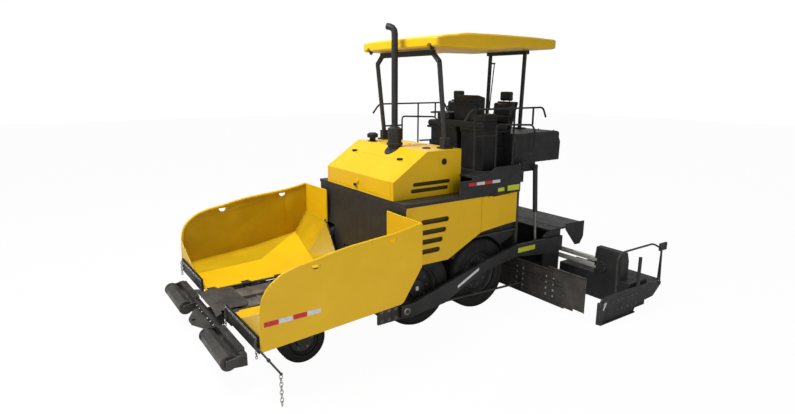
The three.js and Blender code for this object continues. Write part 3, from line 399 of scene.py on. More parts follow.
def tube(name, corners, radius, bend=0.06, rounding=4):
    """A pipe bent to a path, each inner corner rounded off over the length of a bend."""
    at = [Vector(corner) for corner in corners]
    path = [at[0]]
    for before, here, after in zip(at, at[1:], at[2:]):
        start, end = [here + (other - here).normalized() * min(bend, (other - here).length * 0.49)
                      for other in (before, after)]
        for t in (0, 0.2, 0.4, 0.6, 0.8, 1):
            path.append((1 - t) ** 2 * start + 2 * t * (1 - t) * here + t * t * end)
    path.append(at[-1])
    nothing_selected()
    bpy.ops.curve.primitive_nurbs_path_add()
    line = bpy.context.object
    line.data.splines.clear()
    spline = line.data.splines.new("POLY")
    spline.points.add(len(path) - 1)
    for point, place in zip(spline.points, path):
        point.co = (*place, 1)
    line.data.bevel_depth = radius
    line.data.bevel_resolution = rounding
    line.data.use_fill_caps = True
    bpy.ops.object.convert(target="MESH")
    piece = bpy.context.object
    piece.name = name
    return smooth(tidy(piece), ROUND_ANGLE)


# %% Shaping, joining and fitting
def changed(piece, kind, **settings):
    """Adds a modifier with its settings and applies it."""
    alone(piece)
    change = piece.modifiers.new(kind.lower(), kind)
    for name, value in settings.items():
        setattr(change, name, value)
    bpy.ops.object.modifier_apply(modifier=change.name)
    return piece


def ease(piece, width, segments=2):
    """Rounds the sharp edges and gives the flats flat shading up to the round."""
    changed(piece, "BEVEL", width=width, segments=segments, limit_method="ANGLE",
            angle_limit=math.radians(30))
    return changed(smooth(piece, ROUND_ANGLE), "WEIGHTED_NORMAL", keep_sharp=True)


def carve(piece, tool, operation="DIFFERENCE"):
    changed(piece, "BOOLEAN", operation=operation, object=tool)
    bpy.data.objects.remove(tool)
    return piece


def joined(name, pieces):
    nothing_selected()
    for piece in pieces:
        piece.select_set(True)
    bpy.context.view_layer.objects.active = pieces[0]
    bpy.ops.object.join()
    pieces[0].name = name
    return pieces[0]


def copied(piece, name, matrix):
    """A copy with its own mesh, moved or mirrored in its mesh."""
    copy = bpy.data.objects.new(name, piece.data.copy())
    bpy.context.scene.collection.objects.link(copy)
    copy.data.transform(matrix)
    if matrix.determinant() < 0:
        copy.data.flip_normals()
    return copy


MIRROR = Matrix.Scale(-1, 4, LEFT)


def fit(piece, body, finish, slot, *stands_for):
    """Paints a piece, lets it ride on a body, and hides the plain parts that it stands for."""
    piece.data.materials.clear()
    piece.data.materials.append(finish)
    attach(piece, body)
    if stands_for:
        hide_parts(*stands_for)
    print(f"{piece.name}: {len(piece.data.polygons)} faces on {body}")
    return piece


def fit_pair(piece, name, body, finish, slot, *stands_for):
    """Fits a left-hand piece and its mirror image; '{}' in a name becomes left or right."""
    twin = copied(piece, name.format("right"), MIRROR)
    piece.name = name.format("left")
    for side, one in (("left", piece), ("right", twin)):
        fit(one, body.format(side), finish, slot, *[node.format(side) for node in stands_for])
    return piece, twin


def softened(node, width, segments=2, cuts=(), fills=()):
    """A copy of a plain part, merged, cut by tools, and with its edges eased as on cut and painted plate."""
    copy = copied(frame["nodes"][node], node + "_finished", Matrix.Identity(4))
    opened(copy)
    bpy.ops.mesh.remove_doubles(threshold=MERGE)
    closed()
    for tool in fills:
        carve(copy, tool, "UNION")
    for tool in cuts:
        carve(copy, tool)
    opened(copy)
    bpy.ops.mesh.remove_doubles(threshold=MERGE)
    bpy.ops.mesh.dissolve_limited(angle_limit=math.radians(1))
    closed()
    return ease(copy, width, segments)


# %% Bolts
def bolt_model(radius):
    """A hexagon head on its washer, standing on the floor and pointing up."""
    washer = rod("bolt", (0, 0, 0), (0, 0, radius * 0.25), radius * 1.5, sides=16)
    head = rod("head", (0, 0, radius * 0.25), (0, 0, radius * 1.05), radius, radius * 0.93, sides=6)
    return joined("bolt", [washer, head])


def bolted(name, places, radius):
    """Bolts as one mesh: each place is a point and the way its head looks."""
    model = bolt_model(radius)
    copies = []
    for place, way in places:
        turn = Vector(way).to_track_quat("Z", "Y").to_matrix().to_4x4()
        copies.append(copied(model, name, Matrix.Translation(place) @ turn))
    bpy.data.objects.remove(model)
    return joined(name, copies)


def bolt_pair(name, body, places, radius, finish=steel):
    fit_pair(bolted("bolts", places, radius), name, body, finish, "bare_steel")


def ring(centre, radius, count, way):
    """Places for bolts in an upright circle, all facing one way, which is along X or Y."""
    x, y, z = centre
    places = []
    for k in range(count):
        across, up = [radius * turn(2 * math.pi * k / count) for turn in (math.cos, math.sin)]
        places.append(((x + across * abs(way[1]), y + across * abs(way[0]), z + up), way))
    return places


# %% Dressing the plain parts
# These parts already have the right shape. Each gets eased edges and a finish, and the width of its
# rounds is beside its name; '{}' stands for left and right.
DRESSED = [
    (dark, "dark_paint", {
        "bulkhead": 0.003, "exhaust_stack": 0.006, "engine_block": 0.006, "rear_housing": 0.012,
        "front_roof_frame": 0.005, "rear_roof_frame": 0.005, "front_axle": 0.004, "screed_body": 0.004,
        "knuckle_{}": 0.003, "drive_housing_{}": 0.005, "tow_arm_{}": 0.004, "extension_{}": 0.004,
        "lift_barrel_{}": 0.003}),
    (plate_grey, "dark_paint", {"chassis": 0.004, "push_beam": 0.004, "auger_frame": 0.002}),
    (steel, "bare_steel", {"slat_conveyors": 0.004, "tie_rod": 0.002, "auger_{}": 0.002}),
    (yellow, "yellow_paint", {"hood_cover": 0.012, "rear_door_{}": 0.006}),
    (moulding, "moulded_black", {"air_intake": 0.006}),
    (black, "black_paint", {"guard_rail_{}": 0.001}),
    (flap_rubber, "flap_rubber", {"hopper_flap_{}": 0.002}),
    (steel, "polished_rod", {"lift_rod_{}": 0.002}),
]
for finish, slot, widths in DRESSED:
    for name, width in widths.items():
        for side in ("left", "right") if "{}" in name else ("middle",):
            node = name.format(side)
            fit(softened(node, width), frame["nodes"][node]["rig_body"], finish, slot, node)

# %% [markdown]
# ## Hopper wings
#
# Each wing is bent and welded from 18 mm sheet. Its free edge is rolled over into a lip, so that it is
# stiff and doesn't cut a hand. A pipe bent along the edge gives that lip. Two half-round lifting holes
# are carved through the side, and a reflector of four bands is laid low on it. A rubber strip, clamped
# by bolts, seals the slanted inner edge of the rear wall against the bulkhead.

# %% Wing side with rolled lip and lifting holes
EDGE = [(-2.784, 0.53), (-2.776, 0.8), (-2.766, 0.99), (-2.735, 1.105), (-2.668, 1.2), (-2.53, 1.3),
        (-2.35, 1.352), (-2.12, 1.386), (-1.926, 1.428), (-1.725, 1.46), (-1.4, 1.49), (-1.121, 1.514),
        (-0.88, 1.553), (-0.726, 1.588)]
holes = []
for y, z in ((-2.14, 1.345), (-1.15, 1.472)):
    half_round = [(y + 0.055 * math.cos(math.pi * k / 10), z - 0.055 * math.sin(math.pi * k / 10))
                  for k in range(11)]
    holes.append(sawn("lifting_hole", half_round, 0, 1.58, 1.66))
FOOT = [(-0.718, 1.59), (-0.718, 1.05), (-0.985, 0.652), (-1.03, 0.624), (-2.784, 0.508)]
side = sawn("side", EDGE + FOOT, 0, 1.614, 1.6315)
for hole in holes:
    carve(side, hole)
ease(side, 0.003)
lip = tube("lip", [(1.6125, y, z) for y, z in EDGE], 0.019, 0.05)
SPIKE = [(-2.797, 0.56), (-2.782, 0.6), (-2.77, 0.52), (-2.79, 0.485)]
spike = ease(sawn("spike", SPIKE, 0, 1.606, 1.63), 0.003)

# %% Wing floor, folds and corner gusset
ROWS = [((0.448, -2.788, 0.516), (0.93, -2.788, 0.6), (1.618, -2.788, 0.56)),
        ((0.448, -1.81, 0.516), (0.94, -1.81, 0.64), (1.618, -1.7, 0.66)),
        ((0.448, -1.1, 0.516), (0.82, -1.09, 0.65), (1.618, -0.95, 0.79)),
        ((0.5, -0.735, 0.6), (0.86, -0.735, 1.09), (1.618, -0.735, 1.12))]
nothing_selected()
bpy.ops.mesh.primitive_grid_add(x_subdivisions=2, y_subdivisions=3)
tray = bpy.context.object
for corner, place in zip(tray.data.vertices, [place for row in ROWS for place in row]):
    corner.co = place
opened(tray)
bpy.ops.mesh.select_all(action="DESELECT")
closed()
for number in (4, 8):
    tray.data.vertices[number].select = True
bpy.ops.object.mode_set(mode="EDIT")
bpy.ops.mesh.select_mode(type="VERT")
bpy.ops.mesh.vert_connect()
bpy.ops.mesh.select_all(action="SELECT")
bpy.ops.mesh.quads_convert_to_tris()
closed()
changed(tray, "SOLIDIFY", thickness=0.01, offset=-1)
smooth(ease(tidy(tray), 0.002), 6)
REAR = [(0.86, 1.075), (1.614, 1.105), (1.614, 1.588), (0.86, 1.598)]
rear = ease(sawn("rear", REAR, 1, -0.73, -0.714), 0.004)
rear_lip = tube("rear_lip", [(0.868, -0.722, 1.592), (1.61, -0.722, 1.586)], 0.01)
END = [(0.93, 0.63), (1.613, 0.94), (1.613, 0.5), (0.93, 0.56)]
end_plate = ease(sawn("end_plate", END, 1, -2.789, -2.781), 0.002)
# Faces of the floor, rear wall and end plate past these limits, and the large inner faces of the side, take
# the darker yellow as painted shade. The lit floor keeps the full yellow.
SHADE_FROM_X, SHADE_FROM_Y = 1.13, -1.02
inside = [tray, rear, end_plate]
inside_faces = sum(len(piece.data.polygons) for piece in inside)
wing = joined("wing", inside + [rear_lip, side, lip, spike])
for piece in fit_pair(wing, "wing_shell_{}", "hopper_{}", yellow, "yellow_paint", "hopper_wing_{}"):
    outwards = 1 if piece.name.endswith("left") else -1
    piece.data.materials.append(hopper_inside)
    # Material 1 is the painted shade on the steep inner faces.
    for number, face in enumerate(piece.data.polygons):
        if number < inside_faces and (face.center.x * outwards > SHADE_FROM_X or face.center.y > SHADE_FROM_Y):
            face.material_index = 1
        elif face.normal.x * outwards < -0.9 and face.area > 0.02:
            face.material_index = 1

# %% Hinge sleeves and rubber seal
HINGES = (-2.7, -2.23, -1.75, -1.27, -0.79)
SLEEVE = [(0.0165, -0.06), (0.026, -0.06), (0.026, 0.06), (0.0165, 0.06)]
sleeves = [turned("sleeve", SLEEVE, (0.42, y, 0.508), (0, 1, 0), 24) for y in HINGES]
sleeves += [block("lug", (0.44, y - 0.055, 0.5165), (0.5, y + 0.055, 0.526)) for y in HINGES]
fit_pair(joined("sleeves", sleeves), "wing_sleeves_{}", "hopper_{}", dark, "dark_paint")
SEAL = [(0.892, 1.128), (0.925, 1.1), (0.553, 0.612), (0.51, 0.642)]
seal = ease(sawn("seal", SEAL, 1, -0.75, -0.738), 0.002)
fit_pair(seal, "wing_seal_{}", "hopper_{}", flap_rubber, "flap_rubber")
places = [((0.56 + 0.08 * k, -0.75, 0.665 + 0.105 * k), AHEAD) for k in range(5)]
bolt_pair("wing_seal_bolts_{}", "hopper_{}", places, 0.009, zinc)

# %% Reflector bands
def bands(outside, y_low, y_high, z_low, z_high, body, rise=0.0):
    """Four bands, red and white by turns, on a side face at x = outside."""
    width = (y_high - y_low) / 4
    for name, finish, odd in (("red", red_tape, 0), ("white", white_tape, 1)):
        pieces = []
        for k in (odd, odd + 2):
            lift = rise * k
            pieces.append(block("band", (outside, y_low + width * k, z_low + lift),
                                (outside + 0.0012, y_low + width * (k + 0.985), z_high + lift)))
        both = ease(joined("bands", pieces), 0.0004, 1)
        fit_pair(both, f"{name}_bands_{body[:4]}_{{}}", body, finish, "yellow_paint")


bands(1.632, -2.755, -2.104, 0.781, 0.836, "hopper_{}", 0.003)
bands(1.198, 0.395, 0.995, 1.857, 1.9, "machine")

# %% Flap clamp and hanging chains
def chain(name, top, bottom, length=0.036, wire=0.0042):
    """Links from top to bottom, each turned a quarter from the last."""
    top, bottom = Vector(top), Vector(bottom)
    way = (bottom - top).normalized()
    count = max(2, round((bottom - top).length / (length - 2 * wire)))
    links = []
    for k in range(count):
        nothing_selected()
        bpy.ops.mesh.primitive_torus_add(major_segments=14, minor_segments=6,
                                         major_radius=length * 0.31, minor_radius=wire)
        link = bpy.context.object
        link.scale = (1.62, 1, 1)
        bpy.ops.object.transform_apply(scale=True)
        quarter = Matrix.Rotation(math.pi / 2 * (k % 2), 4, "X")
        turn = way.to_track_quat("X", "Z").to_matrix().to_4x4() @ quarter
        link.data.transform(Matrix.Translation(top + (bottom - top) * ((k + 0.5) / count)) @ turn)
        links.append(link)
    return joined(name, links)


clamp = ease(block("clamp", (0.51, -2.82, 0.622), (1.56, -2.8125, 0.656)), 0.002)
clamp_bolts = bolted("bolts", [((0.56 + 0.137 * k, -2.82, 0.639), AHEAD) for k in range(8)], 0.01)
fit_pair(joined("clamp", [clamp, clamp_bolts]), "flap_clamp_{}", "hopper_{}", steel, "bare_steel")
fit_pair(joined("chains", [chain("chain", (0.53, -2.824, 0.615), (0.53, -2.824, 0.4)),
                           chain("chain", (1.55, -2.824, 0.615), (1.55, -2.824, 0.42))]),
         "flap_chains_{}", "hopper_{}", steel, "bare_steel")

# %% Guide rod with its hanging chain
stem = ease(rod("stem", (1.494, -2.822, 0.552), (2.2, -2.822, 0.552), 0.0105), 0.002)
COLLAR = [(0, -0.016), (0.017, -0.016), (0.019, -0.01), (0.019, 0.01), (0.017, 0.016), (0, 0.016)]
collar = turned("collar", COLLAR, (1.892, -2.822, 0.552), LEFT, 20)
knob = ball("knob", (2.2075, -2.822, 0.552), 0.0155, 20, 12)
fit(joined("guide_bar", [stem, collar, knob]), "hopper_left", dark, "bare_steel", "guide_rod")
links = chain("guide_chain", (2.2, -2.822, 0.54), (2.2, -2.822, 0.212), 0.052, 0.005)
fit(links, "hopper_left", zinc, "bare_steel")

# %% [markdown]
# ## Push rollers and front beam
#
# The truck that feeds the hopper rolls against two steel bars. Each bar is a six-sided drum between
# end discs, on a pale pin. The beam behind them carries a ribbed guard bar and hexagon bolts. A flat
# cover plate closes the conveyor mouth: it is sawn to its stepped outline, so nothing sticks past it.

# %% Push rollers
ROLLER_Y, ROLLER_Z = -3.045, 0.318
drum = ease(rod("drum", (0.496, ROLLER_Y, ROLLER_Z), (1.284, ROLLER_Y, ROLLER_Z), 0.092, sides=6), 0.006)
discs = [turned("disc", [(0, a), (0.082, a), (0.092, a + 0.005), (0.092, a + 0.017), (0.082, a + 0.022),
                         (0, a + 0.022)],
                (0, ROLLER_Y, ROLLER_Z), LEFT, 40) for a in (0.474, 1.284)]
fit_pair(joined("roller", [drum] + discs), "push_bar_{}", "roller_{}", plate_grey, "bare_steel",
         "push_roller_{}")
pin = turned("pin", [(0, 0), (0.034, 0), (0.034, 0.002), (0.022, 0.0035), (0, 0.0035)],
             (1.306, ROLLER_Y, ROLLER_Z), LEFT, 24)
fit_pair(pin, "push_bar_pin_{}", "roller_{}", zinc, "bare_steel")

# %% Beam bolts and guard bar
guard = block("guard", (0.52, -2.925, 0.402), (1.26, -2.85, 0.412))
ribs = [block("rib", (0.53, -2.922 + 0.022 * k, 0.41), (1.25, -2.914 + 0.022 * k, 0.426)) for k in range(4)]
fit_pair(ease(joined("guard", [guard] + ribs), 0.003), "roller_guard_{}", "machine", plate_grey, "dark_paint")
places = [((x, -2.927, z), AHEAD) for x in (0.12, 0.24, 0.36) for z in (0.29, 0.36)]
bolt_pair("beam_bolts_{}", "machine", places, 0.014)

# %% Conveyor cover plate
HALF_COVER = [(0.0, -2.47), (0.3, -2.455), (0.372, -2.5), (0.372, -2.83), (0.47, -2.845), (0.53, -2.93),
              (0.26, -2.9), (0.0, -2.905)]
outline = HALF_COVER + [(-x, y) for x, y in reversed(HALF_COVER[1:-1])]
cover_plate = ease(sawn("cover_plate", outline, 2, 0.526, 0.538), 0.003)
fit(cover_plate, "machine", plate_grey, "bare_steel")
places = [((x, y, 0.538), UP) for x in (-0.3, -0.1, 0.1, 0.3) for y in (-2.52, -2.8)]
fit(bolted("cover_bolts", places, 0.01), "machine", steel, "bare_steel")

# %% [markdown]
# ## Wheels
#
# The drive tyres are wide and nearly smooth, with two raised rings on each sidewall. A tyre is a
# turned body, so its section is drawn once and spun about the axle. The rim is a dish with a ring of
# wheel nuts and a square pale cap on its hub, and stays open behind, where the reduction gear enters.

# %% Drive wheels
def both_ways(half):
    """A half section from the bead to the middle of the tread, and its mirror image."""
    return half + [(radius, -along) for radius, along in reversed(half) if along > 0]


TYRE_HALF = [(0.3, 0.15), (0.306, 0.176), (0.345, 0.188), (0.352, 0.1915), (0.362, 0.1915), (0.369, 0.188),
             (0.425, 0.1885), (0.432, 0.192), (0.441, 0.192), (0.448, 0.187), (0.485, 0.176), (0.508, 0.156),
             (0.519, 0.128), (0.5235, 0.09), (0.5243, 0.0)]
DISH = [(0.2985, -0.155), (0.2985, 0.155), (0.29, 0.159), (0.277, 0.15), (0.262, 0.118), (0.246, 0.088),
        (0.17, 0.07), (0.135, 0.076), (0.118, 0.13), (0.108, 0.138), (0, 0.14), (0, 0.046), (0.255, 0.046),
        (0.286, -0.155)]
HUB_HEIGHT = 0.5246
for letter, y in (("a", -0.406), ("b", 0.691)):
    wheel = f"drive_wheel_{letter}_{{}}"
    hub = (0.9725, y, HUB_HEIGHT)
    tyre = smooth(turned("tyre", both_ways(TYRE_HALF), hub, LEFT, 72), 38)
    fit_pair(tyre, f"tyre_{letter}_{{}}", wheel, tyre_rubber, "tyre_rubber", f"drive_tyre_{letter}_{{}}")
    dish = smooth(turned("dish", DISH, hub, LEFT, 56), 35)
    fit_pair(dish, f"rim_{letter}_{{}}", wheel, dark, "dark_paint", f"drive_rim_{letter}_{{}}")
    bolt_pair(f"wheel_nuts_{letter}_{{}}", wheel, ring((1.045, y, HUB_HEIGHT), 0.205, 10, LEFT), 0.013)
    cap = ease(block("cap", (1.112, y - 0.024, 0.4946), (1.118, y + 0.024, 0.5546)), 0.002)
    fit_pair(cap, f"hub_cap_{letter}_{{}}", wheel, white_tape, "dark_paint")

# %% Front wheels
FRONT_HALF = [(0.176, 0.108), (0.182, 0.128), (0.235, 0.134), (0.262, 0.124), (0.278, 0.104),
              (0.2855, 0.07), (0.2865, 0.0)]
FRONT_DISH = [(0.174, -0.11), (0.174, 0.11), (0.168, 0.116), (0.155, 0.1), (0.148, 0.078), (0.095, 0.07),
              (0.082, 0.105), (0, 0.11), (0, 0.05), (0.14, 0.05), (0.16, -0.11)]
axle_end = (1.095, -2.13, 0.28705)
front_tyre = smooth(turned("front_tyre", both_ways(FRONT_HALF), axle_end, LEFT, 56), 38)
front_dish = smooth(turned("front_dish", FRONT_DISH, axle_end, LEFT, 40), 38)
fit_pair(front_tyre, "front_tyre_{}", "front_wheel_{}_spin", tyre_rubber, "tyre_rubber", "front_wheel_{}")
fit_pair(front_dish, "front_rim_{}", "front_wheel_{}_spin", dark, "dark_paint")
bolt_pair("front_nuts_{}", "front_wheel_{}_spin", ring((1.166, -2.13, 0.287), 0.12, 6, LEFT), 0.011)

# %% Mudguard and side sheet over the drive wheels
def arc(centre, radius, first, last, steps):
    angles = [math.radians(first + (last - first) * k / steps) for k in range(steps + 1)]
    return [(centre[0] + radius * math.cos(t), centre[1] + radius * math.sin(t)) for t in angles]


REAR_HUB = (0.691, HUB_HEIGHT)
guard = sawn("mudguard", arc(REAR_HUB, 0.572, 18, 148, 26) + arc(REAR_HUB, 0.564, 148, 18, 26), 0, 0.8, 1.126)
SHEET_TOP = [(1.4, 1.0), (1.44, 1.24), (0.65, 1.2), (0.1, 0.93)]
sheet = sawn("side_sheet", arc(REAR_HUB, 0.572, 148, 40, 22) + SHEET_TOP, 0, 1.112, 1.12)
ribs = [block("rib", (1.1195, y - 0.012, z), (1.1265, y + 0.012, z + 0.09)) for y, z in
        ((0.35, 1.005), (0.55, 1.09), (0.75, 1.1), (0.95, 1.05), (1.15, 1.08), (1.28, 1.02))]
fit_pair(ease(joined("guard", [guard, sheet] + ribs), 0.002, 1), "wheel_guard_{}", "machine", dark,
         "dark_paint")

# %% [markdown]
# ## Engine hood
#
# The hood is a pressed shell, so its edges are much rounder than a cut plate's. On its lid sit two
# small black hinges and a latch, and on its top a hatch plate and a low black cap. The filler in the
# left side has a round grille. These are small, but without them the large yellow faces look empty.

# %% Hood shell with louvres
def pill(y_low, y_high, z, half, x_low, x_high):
    """A long slot's shape with round ends, as a tool that runs along X."""
    ends = [(y_high - half, -90), (y_low + half, 90)]
    outline = [(y + half * math.cos(math.radians(first + 30 * k)),
                z + half * math.sin(math.radians(first + 30 * k)))
               for y, first in ends for k in range(7)]
    return sawn("slot_tool", outline, 0, x_low, x_high)


LOUVRES = ((1.91, -0.345, 0.3), (1.824, -0.38, 0.265))
slots = [pill(y_low, y_high, z, 0.027, -0.95, 0.95) for z, y_low, y_high in LOUVRES]
hood = softened("hood", 0.024, 3, cuts=slots)
fit(hood, "machine", yellow, "yellow_paint", "hood")
# A dark sheet behind the slots on each side stands for the shade inside the hood: painted shade.
fit_pair(ease(block("louvre_back", (0.872, -0.42, 1.775), (0.878, 0.34, 1.955)), 0.001), "hood_louvre_{}",
         "machine", shade, "dark_paint")

# %% Side panels with louvres
LOUVRES = ((1.458, 0.06), (1.318, 0.014), (1.189, -0.042), (1.055, -0.09))
panel = softened("side_panel_left", 0.006, fills=[block("fill", (1.183, -0.4, 1.19), (1.1979, 0.25, 1.6))],
                 cuts=[pill(-0.42, y_high, z, 0.035, 1.15, 1.21) for z, y_high in LOUVRES])
fit_pair(panel, "body_panel_{}", "machine", yellow, "yellow_paint", "side_panel_{}")
# A dark sheet behind each panel's slots stands for the shade behind them: painted shade.
fit_pair(ease(block("louvre_back", (1.16, -0.46, 0.98), (1.166, 0.1, 1.53)), 0.001), "panel_louvre_{}",
         "machine", shade, "dark_paint")

# %% Deck, cut back beside the hood
deck = softened("deck", 0.006, cuts=[block("cut", (x - 0.17, 0.0513, 1.9357), (x + 0.17, 0.4713, 2.3))
                                     for x in (-1.075, 1.075)])
fit(deck, "machine", dark, "dark_paint", "deck")

# %% Hood fittings
hinges = [ease(block("hinge", (x - 0.045, -0.342, 2.2), (x + 0.045, -0.284, 2.23)), 0.006)
          for x in (-0.657, 0.566)]
fit(joined("hood_hinges", hinges), "machine", moulding, "moulded_black")
latch = [ease(block("latch", (-0.075, -0.69, 1.79), (-0.005, -0.6775, 1.828)), 0.004),
         ease(block("latch", (-0.055, -0.697, 1.8), (-0.025, -0.688, 1.818)), 0.003)]
fit(joined("hood_latch", latch), "engine_cover", moulding, "moulded_black")
hatch = ease(block("hatch", (-0.13, 0.16, 2.341), (0.22, 0.42, 2.35)), 0.004)
handle = tube("handle", [(0.0, 0.2, 2.348), (0.0, 0.2, 2.366), (0.09, 0.2, 2.366), (0.09, 0.2, 2.348)],
              0.004, 0.012)
fit(joined("hood_hatch", [hatch, handle]), "machine", yellow, "yellow_paint")
lid = turned("cap", [(0, 0), (0.062, 0), (0.062, 0.008), (0.052, 0.016), (0.02, 0.02), (0, 0.02)],
             (0.607, 0.108, 2.341), UP, 32)
grille = turned("grille", [(0, 0), (0.044, 0), (0.044, 0.006), (0.038, 0.01), (0.032, 0.006), (0.026, 0.01),
                           (0.02, 0.006), (0.014, 0.01), (0, 0.01)], (0.9165, 0.183, 2.185), LEFT, 32)
fit(joined("hood_caps", [lid, grille]), "machine", moulding, "moulded_black")
shoulder = turned("shoulder", [(0.099, -0.02), (0.116, -0.02), (0.119, 0.0), (0.116, 0.014),
                               (0.099, 0.014)], (0.15, -0.12, 2.385), UP, 40)
band = turned("band", [(0.099, -0.012), (0.103, -0.012), (0.103, 0.012), (0.099, 0.012)],
              (0.15, -0.12, 2.54), UP, 40)
fit(joined("exhaust_collars", [shoulder, band]), "machine", dark, "dark_paint")

# %% [markdown]
# ## Body side
#
# The side panels hang on the deck skirt. Black hinges hold the rear door, blank labels mark where
# notices go, and rows of bolts fix the tow bracket and the retaining plates of the auger.

# %% Door hinges and blank labels
hinges = []
for y in (0.834, 1.164):
    plate = block("hinge", (1.196, y - 0.032, 1.683), (1.206, y + 0.032, 1.706))
    barrel = rod("barrel", (1.207, y - 0.03, 1.69), (1.207, y + 0.03, 1.69), 0.008, sides=14)
    hinges += [ease(plate, 0.003), barrel]
fit_pair(joined("hinges", hinges), "door_hinges_{}", "machine", moulding, "moulded_black")
labels = [block("label", (1.1978, 0.957, 1.722), (1.1992, 1.083, 1.776)),
          block("label", (1.1978, 1.15, 1.712), (1.1992, 1.395, 1.792))]
fit_pair(ease(joined("labels", labels), 0.0004, 1), "side_labels_{}", "machine", lime_label, "yellow_paint")
fit_pair(ease(block("label", (1.2978, 1.33, 0.765), (1.2992, 1.7, 0.838)), 0.0004, 1), "arm_label_{}",
         "screed", lime_label, "dark_paint")
screed_label = ease(block("label", (1.235, 2.06, 0.8), (1.2362, 2.24, 0.9)), 0.0004, 1)
fit_pair(screed_label, "screed_label_{}", "screed", lime_label, "dark_paint")
STRIP = [(0.16, 0.462), (0.55, 0.648), (0.55, 0.69), (0.16, 0.504)]
fit_pair(ease(sawn("strip", STRIP, 0, 1.2978, 1.2992), 0.0004, 1), "arm_strip_{}", "screed", white_tape,
         "dark_paint")

# %% Bolts of the tow bracket and the arm's pivot
places = [((1.235, y, z), LEFT) for y in (-1.06, -0.95, -0.84) for z in (0.26, 0.385)] + \
         [((1.235, y, 0.255), LEFT) for y in (-0.56, -0.51)]
bolt_pair("tow_bolts_{}", "machine", places, 0.017)
pivot = turned("pivot", [(0, 0), (0.052, 0), (0.052, 0.004), (0.04, 0.009), (0, 0.009)],
               (1.2975, -0.7, 0.33), LEFT, 32)
fit_pair(pivot, "tow_pivot_{}", "screed", steel, "bare_steel")
plate_bolts = [((x, 1.556, z), AHEAD) for x in (0.7, 0.96, 1.22, 1.48, 1.74, 2.0) for z in (0.15, 0.27, 0.39)]
plate_bolts += [((x + 0.05, 1.556, 0.39), AHEAD) for x in (0.7, 0.96, 1.22, 1.48, 1.74, 2.0)]
bolt_pair("auger_plate_bolts_{}", "machine", plate_bolts, 0.011)

# %% [markdown]
# ## Operator's seats
#
# Each seat is a padded cushion, a padded back and a headrest on a moulded pan. A cushion's cover is
# cloth that the foam presses from inside, so its faces crown and its sides pull in between the
# corners. The pad is started a little small, remeshed to an even grid, and swollen by a short cloth
# simulation with pressure and no gravity. The result is capped, applied and smoothed.

# %% A padded form
INSET = 0.008
SWELL_LIMIT = 0.022


def swollen(name, low, high, rounding, lean=0.0):
    """A pad between two corners; lean tips its top backwards, in metres."""
    piece = block(name, [v + INSET for v in low], [v - INSET for v in high])
    ease(piece, rounding, 3)
    changed(piece, "REMESH", mode="VOXEL", voxel_size=0.0075)
    before = [corner.co.copy() for corner in piece.data.vertices]
    cover = piece.modifiers.new("cover", "CLOTH")
    cover.settings.use_pressure = True
    cover.settings.uniform_pressure_force = 4
    cover.settings.effector_weights.gravity = 0
    for moment in range(1, 21):
        bpy.context.scene.frame_set(moment)
    bpy.ops.object.modifier_apply(modifier=cover.name)
    for corner, start in zip(piece.data.vertices, before):
        move = corner.co - start
        if move.length > SWELL_LIMIT:
            corner.co = start + move * (SWELL_LIMIT / move.length)
    bpy.context.scene.frame_set(1)
    for corner in piece.data.vertices:
        for k in range(3):
            corner.co[k] = min(max(corner.co[k], low[k]), high[k])
    changed(piece, "SMOOTH", factor=0.5, iterations=6)
    for corner in piece.data.vertices:
        corner.co.y += lean * (corner.co.z - low[2]) / (high[2] - low[2])
    bpy.ops.object.shade_smooth()
    return piece


# %% Seats
pads = {
    "seat_cushion": swollen("pad", (0.325, 1.172, 2.53), (0.795, 1.56, 2.636), 0.03),
    "seat_back": swollen("pad", (0.338, 1.56, 2.6), (0.782, 1.665, 2.96), 0.03, 0.055),
    "seat_headrest": swollen("pad", (0.432, 1.655, 2.962), (0.688, 1.738, 3.118), 0.024),
}
for name, pad in pads.items():
    for piece in fit_pair(pad, name + "_{}", "machine", leather, "seat_leather", "operator_seats"):
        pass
SEAM = [(0.345, 1.19, 2.585), (0.775, 1.19, 2.585), (0.775, 1.545, 2.585), (0.345, 1.545, 2.585)]
piping = tube("piping", SEAM + SEAM[:1], 0.0045, 0.03, 3)
fit_pair(piping, "seat_piping_{}", "machine", moulding, "seat_leather")
pan = [ease(block("pan", (0.335, 1.185, 2.5), (0.785, 1.6, 2.54)), 0.012),
       ease(block("box", (0.385, 1.235, 2.3), (0.735, 1.56, 2.505)), 0.015),
       ease(block("foot", (0.36, 1.215, 1.99), (0.76, 1.58, 2.302)), 0.02),
       ease(sawn("shell", [(1.6, 2.5), (1.735, 2.93), (1.738, 2.96), (1.715, 2.96), (1.655, 2.78),
                           (1.575, 2.52)], 0, 0.35, 0.77), 0.008),
       tube("post", [(0.5, 1.7, 2.9), (0.5, 1.705, 3.02)], 0.007),
       tube("post", [(0.62, 1.7, 2.9), (0.62, 1.705, 3.02)], 0.007)]
arms = [ease(block("arm", (x, 1.26, 2.735), (x + 0.045, 1.6, 2.765)), 0.012) for x in (0.33, 0.745)]
arms += [tube("arm_post", [(x + 0.022, 1.6, 2.62), (x + 0.022, 1.6, 2.745), (x + 0.022, 1.5, 2.748)], 0.01,
              0.03) for x in (0.33, 0.745)]
fit_pair(joined("frame", pan + arms), "seat_frame_{}", "machine", moulding, "moulded_black")

# %% [markdown]
# ## Controls, roof and rear shell
#
# The console carries levers with round knobs and two rows of buttons. The moulded roof has a lamp in
# each front corner.

# %% Console
def column(x_low, x_high):
    outline = [(0.89, 1.992), (1.11, 1.992), (1.12, 2.5), (1.145, 2.56), (1.145, 2.6), (0.86, 2.6),
               (0.86, 2.56), (0.89, 2.5)]
    return ease(sawn("column", outline, 0, x_low, x_high), 0.012)


